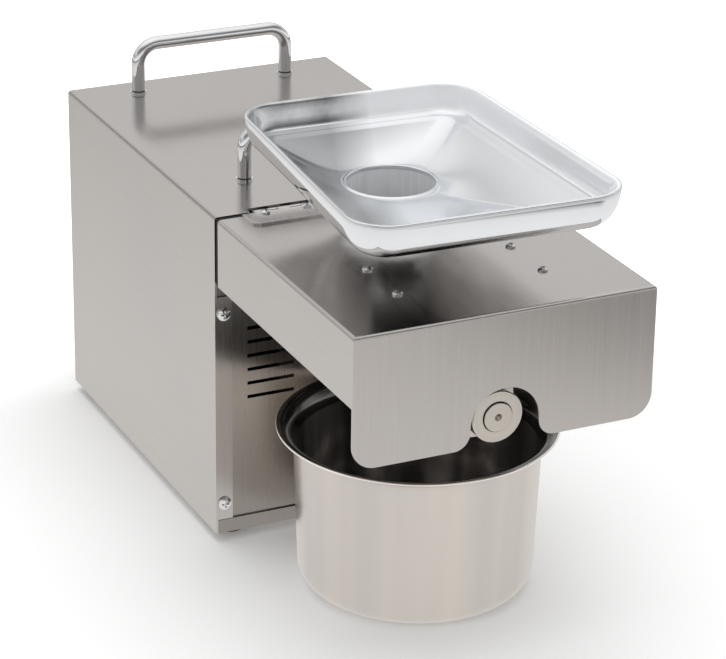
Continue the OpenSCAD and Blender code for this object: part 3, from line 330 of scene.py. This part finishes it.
def spun(name, tone, dark, centre, lip, rim):
    """Spun bowl with faint rings and painted reflections in soft upright bands, satin outside and a mirror
    inside painted darker for shade, with painted shade on its right. Its lip, above one height, has painted
    shade inside and a painted highlight beyond a radius."""
    floor_z = 50 * MM

    def build(g):
        point = g.coordinates()
        _, _, z = g.split(point)
        radius, dx, dy = g.around(*centre)
        nx, ny, nz = g.split(g.coordinates("Normal"))
        inward = ((nx * dx + ny * dy) * -400.0).held().highest((nz > 0.7) * (z < floor_z))
        rings = g.join(z, radius, 0.0)
        broad = g.noise(rings, 150.0, 1.0, 0.5)
        # Painted reflections: soft upright bands, strongest inside
        painted_reflection_bands = g.noise(g.stretch(point, (1.0, 1.0, 0.03)), 34.0, 2.0, 0.5)
        cool, warm = (tone[0], tone[1], tone[2] * 1.03), (tone[0] * 1.01, tone[1] * 0.99, tone[2] * 0.96)
        skin = g.blend(((painted_reflection_bands - 0.5) * 2.0 + 0.5).held(), rgba(cool), rgba(warm))
        # Painted shade: darker towards the bowl's right
        right = (dx * 12.0).held()
        shade = 1.0 + (broad - 0.5) * 0.025 + (painted_reflection_bands - 0.5) * (0.34 + inward * 4.0) - right * 0.17
        # Painted shade inside the lip above its height, and a painted highlight on the rim beyond a radius
        shade = shade * (1.0 - (z > lip) * inward * 0.72) * (1.0 + (radius > rim) * 0.55)
        return {
            "Base Color": g.shade(g.blend(inward, skin, rgba(dark)), shade),
            "Metallic": 1.0 - inward * 0.16,
            "Roughness": 0.25 - inward * 0.13 + (broad - 0.5) * 0.03,
        }

    return surface(name, build)


def moulded(name, tone, rough=0.45, grain=0.15):
    """Moulded plastic or rubber with a fine spark-eroded texture."""

    def build(g):
        point = g.coordinates()
        pit = g.noise(point, 1500.0, 2.0, 0.5)
        cloud = g.noise(point, 60.0, 2.0, 0.5)
        return {
            "Base Color": g.shade(tuple(tone), 1.0 + (cloud - 0.5) * 0.4),
            "Roughness": rough + (cloud - 0.5) * 0.12,
            "Normal": g.bump(pit, grain, 0.0001),
        }

    return surface(name, build)


def machined(name, tone, rough=0.5):
    """Cast or machined metal inside the casing."""

    def build(g):
        point = g.coordinates()
        grit = g.noise(point, 600.0, 3.0, 0.6)
        cloud = g.noise(point, 50.0, 2.0, 0.5)
        return {
            "Base Color": g.shade(tuple(tone), 1.0 + (cloud - 0.5) * 0.25 + (grit - 0.5) * 0.15),
            "Metallic": 1.0,
            "Roughness": rough + (grit - 0.5) * 0.2,
            "Normal": g.bump(grit, 0.3, 0.0001),
        }

    return surface(name, build)


def dress(nodes, material):
    """Gives one material to the CAD nodes named in a string."""
    for node in nodes.split():
        piece = frame["nodes"][node]
        if not piece.data.materials:
            piece.data.materials.append(material)
        for slot in piece.material_slots:
            slot.material = material


def place(name, bm, body, slot, material):
    """Links a finished mesh as a piece that rides on a body."""
    bmesh.ops.recalc_face_normals(bm, faces=bm.faces)
    mesh = bpy.data.meshes.new(name)
    bm.to_mesh(mesh)
    bm.free()
    mesh.materials.append(material)
    piece = bpy.data.objects.new(name, mesh)
    bpy.context.scene.collection.objects.link(piece)
    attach(piece, body)
    return piece


def stand_in(name, bm, body, node, slot, material):
    """Places a smooth piece that stands for a CAD node."""
    piece = place(name, bm, body, slot, material)
    piece.data.shade_smooth()
    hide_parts(node)


def join_rings(bm, rings, closed):
    """Adds faces between rings of equal counts. A ring of one point closes that end with a fan."""
    rows = [[bm.verts.new(point) for point in ring] for ring in rings]
    count = max(len(row) for row in rows)
    for low, high in zip(rows, rows[1:] + ([rows[0]] if closed else [])):
        for i in range(count):
            j = (i + 1) % count
            if len(low) == 1:
                bm.faces.new((low[0], high[j], high[i]))
            elif len(high) == 1:
                bm.faces.new((low[i], low[j], high[0]))
            else:
                bm.faces.new((low[i], low[j], high[j], high[i]))


def arc(x, y, radius, start, end, steps):
    """Points along an arc, its angles in degrees."""
    turns = [math.radians(start + (end - start) * i / steps) for i in range(steps + 1)]
    return [(x + radius * math.cos(a), y + radius * math.sin(a)) for a in turns]


def feed_hole():
    """Centre of the feed hole, from the record's mount."""
    for mount in frame["record"]["mounts"]:
        if mount["name"] == "feed_hole":
            return mount["pos_m"][:2]
    raise RuntimeError("the record has no feed hole")


class PressShapes(bpy.types.PropertyGroup):
    """Sizes of the tray and the bowl."""
    tray_front: bpy.props.FloatProperty(name="Tray front", description="Width of the tray's rim at its front",
        default=0.150, unit="LENGTH")
    tray_rear: bpy.props.FloatProperty(name="Tray rear", description="Width of the tray's rim at its rear",
        default=0.137, unit="LENGTH")
    tray_length: bpy.props.FloatProperty(name="Tray length", description="Length of the tray's rim",
        default=0.193, unit="LENGTH")
    tray_back: bpy.props.FloatProperty(name="Tray back", description="From the hole to the rim's rear",
        default=0.0575, unit="LENGTH")
    tray_corner: bpy.props.FloatProperty(name="Tray corners", description="Radius of the tray's corners",
        default=0.023, unit="LENGTH")
    tray_swing: bpy.props.FloatProperty(name="Tray turn", description="Turn of the loose tray about its neck",
        default=math.radians(2.0), unit="ROTATION")
    bowl_flare: bpy.props.FloatProperty(name="Bowl flare", description="Width of the bowl's flared lip",
        default=0.0095, unit="LENGTH")
    bowl_taper: bpy.props.FloatProperty(name="Bowl taper", description="How far the bowl's wall leans out",
        default=0.0025, unit="LENGTH")
    bowl_edge: bpy.props.FloatProperty(name="Bowl edge", description="Radius of the bowl's base edge",
        default=0.013, unit="LENGTH")
    bowl_sheet: bpy.props.FloatProperty(name="Bowl sheet", description="Thickness of the bowl's sheet",
        default=0.0012, unit="LENGTH")


class PressFinishes(bpy.types.PropertyGroup):
    """Colours of the press."""
    sheet: bpy.props.FloatVectorProperty(name="Sheet", description="Colour of the brushed sheet",
        subtype="COLOR", size=3, default=(0.535, 0.511, 0.498))
    sheet_warm: bpy.props.FloatVectorProperty(name="Sheet, warm", description="Warm patches of the sheet",
        subtype="COLOR", size=3, default=(0.550, 0.517, 0.486))
    # Painted shade: the sheet's steel made darker for the front panel and base plate
    panel: bpy.props.FloatVectorProperty(name="Panel", description="Colour of the front panel",
        subtype="COLOR", size=3, default=(0.38, 0.353, 0.327))
    tray: bpy.props.FloatVectorProperty(name="Tray", description="Colour of the polished tray",
        subtype="COLOR", size=3, default=(0.825, 0.84, 0.86))
    chrome: bpy.props.FloatVectorProperty(name="Chrome", description="Colour of the plated rods and screws",
        subtype="COLOR", size=3, default=(0.80, 0.80, 0.81))
    turned: bpy.props.FloatVectorProperty(name="Nozzle", description="Colour of the turned steel",
        subtype="COLOR", size=3, default=(0.60, 0.56, 0.51))
    bowl: bpy.props.FloatVectorProperty(name="Bowl", description="Colour of the bowl's outside",
        subtype="COLOR", size=3, default=(0.635, 0.602, 0.566))
    # Painted shade: the inside of the spun steel in a darker colour
    bowl_dark: bpy.props.FloatVectorProperty(name="Bowl inside", description="Colour of the bowl's inside",
        subtype="COLOR", size=3, default=(0.50, 0.475, 0.46))


class PressStage(bpy.types.PropertyGroup):
    """Camera and light."""
    place: bpy.props.FloatVectorProperty(name="Camera", description="Place of the camera",
        size=3, default=(-0.65595, -1.41549, 0.77649), unit="LENGTH")
    turn: bpy.props.FloatVectorProperty(name="Camera turn", description="Turn of the camera in degrees",
        size=3, default=(66.7147, -0.7737, -25.0794))
    lens: bpy.props.FloatProperty(name="Lens", description="Focal length in millimetres", default=149.4446)
    key: bpy.props.FloatProperty(name="Key lamp", description="Power of the key lamp in watts", default=22.0)
    fill: bpy.props.FloatProperty(name="Fill lamp", description="Power of the fill lamp in watts",
        default=4.0)
    sky: bpy.props.FloatProperty(name="Sky", description="Strength of the studio in reflections",
        default=1.15)
    table_light: bpy.props.FloatProperty(name="Table", description="Lightness of the table in reflections",
        default=0.98)
    shadow: bpy.props.FloatProperty(name="Shadow", description="Share of the table's light that shadows take",
        subtype="FACTOR", default=0.92)


class PRESS_OT_stage(bpy.types.Operator):
    """Camera, table, studio and soft lamps"""
    bl_idname = "press.stage"
    bl_label = "Stage"

    def execute(self, context):
        scene, chosen = context.scene, context.scene.press_stage
        scene.view_settings.view_transform = "Standard"
        data = bpy.data.cameras.new("camera")
        data.sensor_width = 36.0
        data.lens = chosen.lens
        data.clip_start, data.clip_end = 0.05, 50.0
        camera = bpy.data.objects.new("camera", data)
        scene.collection.objects.link(camera)
        camera.location = chosen.place
        camera.rotation_euler = [math.radians(angle) for angle in chosen.turn]
        scene.camera = camera
        self.table(scene, chosen)
        self.studio(scene, chosen)
        self.lamp(scene, "key lamp", (0.12, 0.1, 1.9), (1.7, 1.7), chosen.key)
        self.lamp(scene, "fill lamp", (-1.2, -1.1, 1.6), (1.2, 1.2), chosen.fill)
        return {"FINISHED"}

    def lamp(self, scene, name, spot, size, watts):
        """A soft lamp aimed at the press, which its mirrors don't show."""
        data = bpy.data.lights.new(name, "AREA")
        data.shape = "RECTANGLE"
        data.size, data.size_y = size
        data.energy = watts
        lamp = bpy.data.objects.new(name, data)
        scene.collection.objects.link(lamp)
        lamp.location = spot
        lamp.rotation_mode = "QUATERNION"
        aim = Vector((0, 0, 0.1))
        lamp.rotation_quaternion = (aim - Vector(spot)).to_track_quat("-Z", "Y")
        lamp.visible_glossy = False

    def table(self, scene, chosen):
        """A white table. For the camera it keeps soft shadows round the press and glows white further out. In
        reflections it dims with distance, and it is dark in a patch at its front right."""
        half = 4.0
        mesh = bpy.data.meshes.new("table")
        corners = [(-half, -half, 0), (half, -half, 0), (half, half, 0), (-half, half, 0)]
        mesh.from_pydata(corners, [], [(0, 1, 2, 3)])
        table = bpy.data.objects.new("table", mesh)
        scene.collection.objects.link(table)
        material = bpy.data.materials.new("table white")
        g = Graph(material)
        away = g.around(0.0, -0.08)[0]
        patch = (1.0 - g.around(0.33, -0.64)[0] * 4.6).held()
        seen = g.node("ShaderNodeLightPath", out="Is Camera Ray")
        mirrored = g.node("ShaderNodeLightPath", out="Is Glossy Ray")
        glow = (1.04 - chosen.shadow) + ((away - 0.30) * 3.0).held() * chosen.shadow
        matte = g.node("ShaderNodeBsdfDiffuse", None, {"Color": (0.80, 0.80, 0.80, 1)})
        kept = g.node("ShaderNodeBsdfDiffuse", None, {"Color": (*[chosen.shadow] * 3, 1)})
        white = g.node("ShaderNodeEmission", None, {"Color": (1, 1, 1, 1), "Strength": glow})
        bright = g.node("ShaderNodeAddShader", None, {0: kept, 1: white})
        dim = chosen.table_light - ((away - 0.25) * 0.35).held() - patch
        mirror = g.node("ShaderNodeEmission", None, {"Color": (1.0, 0.99, 0.975, 1), "Strength": dim})
        soft = g.node("ShaderNodeMixShader", None, {0: 0.20, 1: mirror, 2: matte})
        rest = g.node("ShaderNodeMixShader", None, {0: mirrored, 1: matte, 2: soft})
        g.node("ShaderNodeOutputMaterial", None,
            {"Surface": g.node("ShaderNodeMixShader", None, {0: seen, 1: rest, 2: bright})})
        mesh.materials.append(material)

    def studio(self, scene, chosen):
        """White for the camera, and for reflections a strip behind, a dark front and a bright ceiling."""
        world = bpy.data.worlds.new("studio")
        scene.world = world
        g = Graph(world)
        _, y, z = g.split(g.coordinates("Generated"))
        height = z * 0.5 + 0.5
        behind = [(0.0, 0.5), (0.5, 0.86), (0.52, 0.74), (0.555, 0.36), (0.62, 0.44), (0.655, 0.69),
                  (0.675, 0.83), (0.705, 0.72), (0.74, 0.55), (0.79, 0.78), (0.90, 0.90), (1.0, 1.0)]
        ahead = [(0.0, 0.5), (0.5, 0.84), (0.56, 0.84), (0.62, 0.55), (0.70, 0.22), (0.82, 0.18),
                 (0.91, 0.70), (1.0, 1.0)]
        back = g.node("ShaderNodeValToRGB", {"stops": behind}, {"Fac": height})
        front = g.node("ShaderNodeValToRGB", {"stops": ahead}, {"Fac": height})
        sky = g.blend((y * 1.6 + 0.5).held(), front, back)
        mirrored = g.node("ShaderNodeLightPath", out="Is Glossy Ray")
        seen = g.node("ShaderNodeLightPath", out="Is Camera Ray")
        plain = g.node("ShaderNodeBackground", None, {"Color": (1, 1, 1, 1), "Strength": 0.55})
        lit = g.node("ShaderNodeBackground", None, {"Color": sky, "Strength": chosen.sky})
        white = g.node("ShaderNodeBackground", None, {"Color": (1, 1, 1, 1), "Strength": 1.0})
        rest = g.node("ShaderNodeMixShader", None, {0: mirrored, 1: plain, 2: lit})
        g.node("ShaderNodeOutputWorld", None,
            {"Surface": g.node("ShaderNodeMixShader", None, {0: seen, 1: rest, 2: white})})


class PRESS_OT_sheet_metal(bpy.types.Operator):
    """Brushed casing, base, panels, cover and heat shield"""
    bl_idname = "press.sheet_metal"
    bl_label = "Sheet metal"

    def execute(self, context):
        chosen = context.scene.press_finishes
        sheet, warm, panel = tuple(chosen.sheet), tuple(chosen.sheet_warm), tuple(chosen.panel)
        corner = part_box("casing")[1]
        dress("casing", brushed("brushed casing", sheet, warm, fold=(corner[0], corner[2])))
        dress("cover rear_panel heat_shield", brushed("brushed sheet", sheet, warm))
        # Painted shade: the front panel and base plate use the darker panel colour
        dress("front_panel base_plate", brushed("brushed panel", panel, panel, 0.28, upright=True))
        return {"FINISHED"}


class PRESS_OT_hinges(bpy.types.Operator):
    """Leaves and pins of both hinges"""
    bl_idname = "press.hinges"
    bl_label = "Hinges"

    def execute(self, context):
        # Painted light: the hinges take the sheet's colour made lighter
        painted_light_lift = 1.3
        tone = [part * painted_light_lift for part in context.scene.press_finishes.sheet]
        parts = ("cover_leaf", "body_leaf", "pin")
        nodes = [f"{side}_hinge_{part}" for side in ("left", "right") for part in parts]
        dress(" ".join(nodes), brushed("hinge steel", tone, tone, 0.24))
        return {"FINISHED"}


class PRESS_OT_chrome(bpy.types.Operator):
    """Plated handles and screws"""
    bl_idname = "press.chrome"
    bl_label = "Chrome"

    def execute(self, context):
        tone = tuple(context.scene.press_finishes.chrome)
        joint_up, joint_h = 1.2 * MM, 0.7 * MM
        joint_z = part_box("casing")[1][2] + joint_up
        dress("front_handle rear_handle", chromed("chrome", tone, 0.05, (joint_z, joint_z + joint_h)))
        dress("foot_screws casing_screws handle_screws cover_screws hinge_screws socket_screws",
            chromed("screw chrome", [part * 0.92 for part in tone], 0.11))
        return {"FINISHED"}


class PRESS_OT_turned(bpy.types.Operator):
    """Turned chamber, nozzle and screw"""
    bl_idname = "press.turned"
    bl_label = "Chamber, nozzle and screw"

    def execute(self, context):
        low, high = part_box("press_nozzle")
        tone = tuple(context.scene.press_finishes.turned)
        dress("press_chamber press_nozzle press_screw",
            turned("turned steel", tone, (low[0] + high[0]) / 2, (low[2] + high[2]) / 2))
        return {"FINISHED"}


class PRESS_OT_drive(bpy.types.Operator):
    """Gearbox, gears and motor"""
    bl_idname = "press.drive"
    bl_label = "Drive"

    def execute(self, context):
        # Painted shade: the drive's castings are near black so that the casing looks dark through its vents
        dress("chamber_socket gearbox_case gearbox_cover motor_front_bell motor_rear_bell gearbox_bracket "
              "board_bracket", machined("cast metal, black as painted shade", (0.045, 0.045, 0.047), 0.6))
        dress("gearbox_bearings output_shaft output_gear layshaft layshaft_gear motor_pinion motor_shaft",
            machined("gear steel", (0.40, 0.39, 0.38), 0.35))
        dress("armature commutator", machined("copper", (0.62, 0.34, 0.18), 0.35))
        dress("motor_shell motor_magnets motor_brushes",
            moulded("black enamel", (0.02, 0.02, 0.022), 0.3, 0.05))
        return {"FINISHED"}


class PRESS_OT_fittings(bpy.types.Operator):
    """Feet, switches, inlet, board and wiring"""
    bl_idname = "press.fittings"
    bl_label = "Fittings"

    def execute(self, context):
        dress("foot_front_left foot_front_right foot_rear_left foot_rear_right motor_cradle",
            moulded("rubber", (0.018, 0.018, 0.018), 0.7, 0.3))
        dress("clamp_bolt cooling_fan board_parts mains_inlet power_switch_frame direction_switch_frame",
            moulded("black plastic", (0.02, 0.02, 0.021), 0.42, 0.15))
        dress("power_rocker direction_rocker", moulded("rocker plastic", (0.03, 0.03, 0.031), 0.25, 0.03))
        dress("control_board", moulded("circuit board", (0.02, 0.12, 0.05), 0.4, 0.05))
        dress("inlet_pins", machined("contact metal", (0.70, 0.55, 0.30), 0.3))
        dress("wiring", moulded("wire jacket", (0.35, 0.03, 0.02), 0.4, 0.05))
        return {"FINISHED"}


class PRESS_OT_tray(bpy.types.Operator):
    """Polished cast tray with a rounded rim, a funnel floor and a bored neck"""
    bl_idname = "press.tray"
    bl_label = "Feed tray"

    def execute(self, context):
        chosen = context.scene.press_shapes
        low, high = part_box("feed_tray")
        top, foot = high[2], low[2]
        hole = feed_hole()
        plan = self.plan(chosen)
        swing_c, swing_s = math.cos(chosen.tray_swing), math.sin(chosen.tray_swing)

        def placed(x, y, z):
            return (hole[0] + x * swing_c + y * swing_s, hole[1] - x * swing_s + y * swing_c, z)

        def outline(inset, z):
            reach = chosen.tray_corner - inset * MM
            return [(bx + reach * nx, by + reach * ny, top + z * MM) for bx, by, nx, ny in plan]

        def circle(radius, z):
            turns = [math.atan2(y, x) for x, y, _ in outline(0.0, 0.0)]
            return [(radius * MM * math.cos(a), radius * MM * math.sin(a), top + z * MM) for a in turns]

        def between(first, second, share):
            return [tuple(p + (q - p) * share for p, q in zip(a, b)) for a, b in zip(first, second)]

        # Each pair: distance in from the rim's outline and height from its top, in mm
        outside = [(0.75, 0.0), (0.35, -0.2), (0.15, -0.8), (0.25, -3.0), (0.8, -6.5), (1.7, -10.0),
                   (3.0, -13.2), (4.8, -16.0), (7.0, -18.2), (9.4, -19.8), (11.6, -20.8)]
        inside = [(14.0, -16.4), (10.8, -15.5), (8.8, -14.7), (7.3, -13.5), (6.3, -11.6), (5.3, -8.4),
                  (4.3, -5.0), (3.2, -1.6), (2.7, -0.5), (2.25, -0.1), (1.5, 0.0)]
        # Each pair: radius about the hole and height from the rim's top, in mm
        foot_z = (foot - top) / MM
        boss, lip_foot = (34.0, -37.0), (26.2, -31.9)
        neck = [(31.0, -38.4), (28.0, -38.6), (25.9, -39.2), (25.1, -40.6), (25.0, -43.0),
                (25.0, foot_z + 0.5), (24.7, foot_z), (24.2, foot_z), (24.0, foot_z + 0.3),
                (24.0, -45.0), (24.0, -34.0), *arc(24.7, -31.9, 0.7, 180, 30, 9)]
        rings = [outline(*spot) for spot in outside]
        under, boss_ring = rings[-1], circle(*boss)
        rings += [between(under, boss_ring, share) for share in (0.05, 0.15, 0.35, 0.6, 0.85, 1.0)]
        rings += [circle(*spot) for spot in neck]
        lip_ring, floor_ring = circle(*lip_foot), outline(*inside[0])
        rise, curve = inside[0][1] - lip_foot[1], 1.4
        for share in (0.0, 0.03, 0.1, 0.2, 0.35, 0.5, 0.65, 0.8, 0.9, 0.97):
            height = top + (lip_foot[1] + rise * share ** curve) * MM
            rings.append([(x, y, height) for x, y, _ in between(lip_ring, floor_ring, share)])
        rings += [outline(*spot) for spot in inside]
        rings = [[placed(*point) for point in ring] for ring in rings]
        bm = bmesh.new()
        join_rings(bm, rings, closed=True)
        tone = tuple(context.scene.press_finishes.tray)
        bore_top, bore_r = top - 33.5 * MM, 24.6 * MM
        material = polished("polished cast", tone, hole, bore_top, bore_r, top)
        stand_in("polished_tray", bm, "tray", "feed_tray", "polished_cast", material)
        return {"FINISHED"}

    def plan(self, chosen, count=264):
        """Evenly spaced points round the rim, measured from the hole. Each is a corner's centre, or a place
        on the line between two centres, with the outward direction there."""
        corner = chosen.tray_corner
        front_x, rear_x = chosen.tray_front / 2 - corner, chosen.tray_rear / 2 - corner
        rear_y = chosen.tray_back - corner
        front_y = chosen.tray_back - chosen.tray_length + corner
        lean = math.atan2(front_x - rear_x, rear_y - front_y)
        centres = [(front_x, front_y), (rear_x, rear_y), (-rear_x, rear_y), (-front_x, front_y)]
        turns = [lean, math.pi / 2, math.pi - lean, math.pi * 1.5, math.pi * 2 + lean]
        spans = []
        for i in range(4):
            here, after = centres[i], centres[(i + 1) % 4]
            spans.append((math.dist(here, after), here, after, turns[i], turns[i]))
            spans.append((corner * (turns[i + 1] - turns[i]), after, after, turns[i], turns[i + 1]))
        whole = sum(span[0] for span in spans)
        points = []
        for i in range(count):
            along = whole * (i + 0.5) / count
            for length, here, after, start, end in spans:
                if along <= length:
                    break
                along -= length
            share = along / length
            turn = start + (end - start) * share
            points.append((here[0] + (after[0] - here[0]) * share, here[1] + (after[1] - here[1]) * share,
                           math.cos(turn), math.sin(turn)))
        return points


class PRESS_OT_bowl(bpy.types.Operator):
    """Spun bowl with a flared lip and a rounded base edge"""
    bl_idname = "press.bowl"
    bl_label = "Oil bowl"

    def execute(self, context):
        chosen = context.scene.press_shapes
        low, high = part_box("oil_bowl")
        centre = ((low[0] + high[0]) / 2, (low[1] + high[1]) / 2)
        spare = 0.05 * MM
        rim = (high[0] - low[0]) / 2 - spare
        sheet, flare, edge = chosen.bowl_sheet, chosen.bowl_flare, chosen.bowl_edge
        lip_z = high[2] - flare - sheet
        edge_x = rim - flare - chosen.bowl_taper - edge
        lean = math.degrees(math.atan2(chosen.bowl_taper, lip_z - edge))
        nose = sheet / 2
        nose_turn = 90 + math.degrees(math.asin(nose / (flare + nose)))
        nose_x = rim + (flare + nose) * math.cos(math.radians(nose_turn))
        nose_z = lip_z + (flare + nose) * math.sin(math.radians(nose_turn))
        count, edge_steps, lip_steps, nose_steps = 192, 12, 14, 8
        profile = [(0.0, 0.0)]
        profile += arc(edge_x, edge, edge, -90, -lean, edge_steps)
        profile += arc(rim, lip_z, flare, 180 - lean, nose_turn, lip_steps)
        profile += arc(nose_x, nose_z, nose, nose_turn - 180, nose_turn, nose_steps)[1:-1]
        profile += arc(rim, lip_z, flare + sheet, nose_turn, 180 - lean, lip_steps)
        profile += arc(edge_x, edge, edge - sheet, -lean, -90, edge_steps)
        profile += [(0.0, sheet)]
        turns = [2 * math.pi * i / count for i in range(count)]
        rings = []
        for radius, z in profile:
            around = turns if radius else turns[:1]
            rings.append([(centre[0] + radius * math.cos(a), centre[1] + radius * math.sin(a), z)
                          for a in around])
        bm = bmesh.new()
        join_rings(bm, rings, closed=False)
        finishes = context.scene.press_finishes
        # Painted shade inside the lip above this height, painted highlight beyond this radius
        lip_shade_z, highlight_r = lip_z - 1.0 * MM, rim - 0.8 * MM
        material = spun("spun steel", tuple(finishes.bowl), tuple(finishes.bowl_dark), centre,
            lip_shade_z, highlight_r)
        stand_in("spun_bowl", bm, "bowl", "oil_bowl", "bowl_steel", material)
        return {"FINISHED"}


class PRESS_OT_edge_strip(bpy.types.Operator):
    """Black strip along the cover's rear edge, left out at the hinges: painted shade in the gap between cover
    and casing
    """
    bl_idname = "press.edge_strip"
    bl_label = "Edge strip"

    def execute(self, context):
        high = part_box("cover")[1]
        drop, bend, space = 38 * MM, 2.0 * MM, 2.0 * MM
        sunk, wide, deep = 0.2 * MM, 1.6 * MM, 3.4 * MM
        foot_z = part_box("casing")[1][2] - drop
        side_x, top_z = high[0] - sunk, high[2] - sunk
        front, rear = high[1], high[1] + deep
        pins = [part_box(f"{side}_hinge_pin") for side in ("left", "right")]
        ends = [abs(corner[0]) for box in pins for corner in box]
        inner_x, outer_x = min(ends) - space, max(ends) + space
        bm = bmesh.new()
        for sign in (-1, 1):
            path = [(sign * side_x, foot_z, sign, 0), (sign * side_x, top_z - bend, sign, 0)]
            for x, z in arc(side_x - bend, top_z - bend, bend, 15, 75, 4):
                out = Vector((x - side_x + bend, z - top_z + bend)).normalized()
                path.append((sign * x, z, sign * out[0], out[1]))
            path += [(sign * (side_x - bend), top_z, 0, 1), (sign * outer_x, top_z, 0, 1)]
            self.sweep(bm, path, wide, front, rear)
        self.sweep(bm, [(x, top_z, 0, 1) for x in (-inner_x, 0, inner_x)], wide, front, rear)
        # Painted shade: a near-black strip standing in for the shade in the gap behind the cover's rear edge
        rubber = moulded("gap shade strip", (0.006, 0.006, 0.006), 0.8, 0.1)
        place("edge_strip", bm, "cover", "foot_rubber", rubber)
        return {"FINISHED"}

    def sweep(self, bm, path, wide, front, rear):
        """A bar along a path of points with outward directions, its rear edges rounded off."""
        soft = 0.4 * MM
        section = [(0, front), (0, rear - soft), (soft, rear),
                   (wide - soft, rear), (wide, rear - soft), (wide, front)]
        rows = [[bm.verts.new((x - nx * inward, y, z - nz * inward)) for inward, y in section]
                for x, z, nx, nz in path]
        count = len(section)
        for one, two in zip(rows, rows[1:]):
            for i in range(count):
                j = (i + 1) % count
                bm.faces.new((one[i], one[j], two[j], two[i]))
        bm.faces.new(rows[0])
        bm.faces.new(rows[-1][::-1])


class PRESS_PT_sidebar(bpy.types.Panel):
    """Lists the press's sizes, colours and pieces"""
    bl_idname = "PRESS_PT_sidebar"
    bl_label = "Oil press"
    bl_space_type = "VIEW_3D"
    bl_region_type = "UI"
    bl_category = "Oil press"

    def draw(self, context):
        for group, held_as in GROUPS.items():
            owner = getattr(context.scene, held_as)
            for name in group.__annotations__:
                self.layout.prop(owner, name)
        for operator in OPERATORS:
            self.layout.operator(operator.bl_idname)


GROUPS = {PressShapes: "press_shapes", PressFinishes: "press_finishes", PressStage: "press_stage"}
OPERATORS = (PRESS_OT_stage, PRESS_OT_sheet_metal, PRESS_OT_hinges, PRESS_OT_chrome, PRESS_OT_turned,
    PRESS_OT_drive, PRESS_OT_fittings, PRESS_OT_tray, PRESS_OT_bowl, PRESS_OT_edge_strip)
CLASSES = (*GROUPS, *OPERATORS, PRESS_PT_sidebar)


def register():
    """Registers the classes and hangs the settings on the scene."""
    for made in CLASSES:
        bpy.utils.register_class(made)
    for group, name in GROUPS.items():
        setattr(bpy.types.Scene, name, bpy.props.PointerProperty(type=group))


def unregister():
    """Takes the settings and the classes away again."""
    for name in GROUPS.values():
        delattr(bpy.types.Scene, name)
    for made in reversed(CLASSES):
        bpy.utils.unregister_class(made)


def main():
    """Runs every operator in order."""
    register()
    bpy.ops.press.stage()
    bpy.ops.press.sheet_metal()
    bpy.ops.press.hinges()
    bpy.ops.press.chrome()
    bpy.ops.press.turned()
    bpy.ops.press.drive()
    bpy.ops.press.fittings()
    bpy.ops.press.tray()
    bpy.ops.press.bowl()
    bpy.ops.press.edge_strip()


if __name__ == "__main__":
    main()
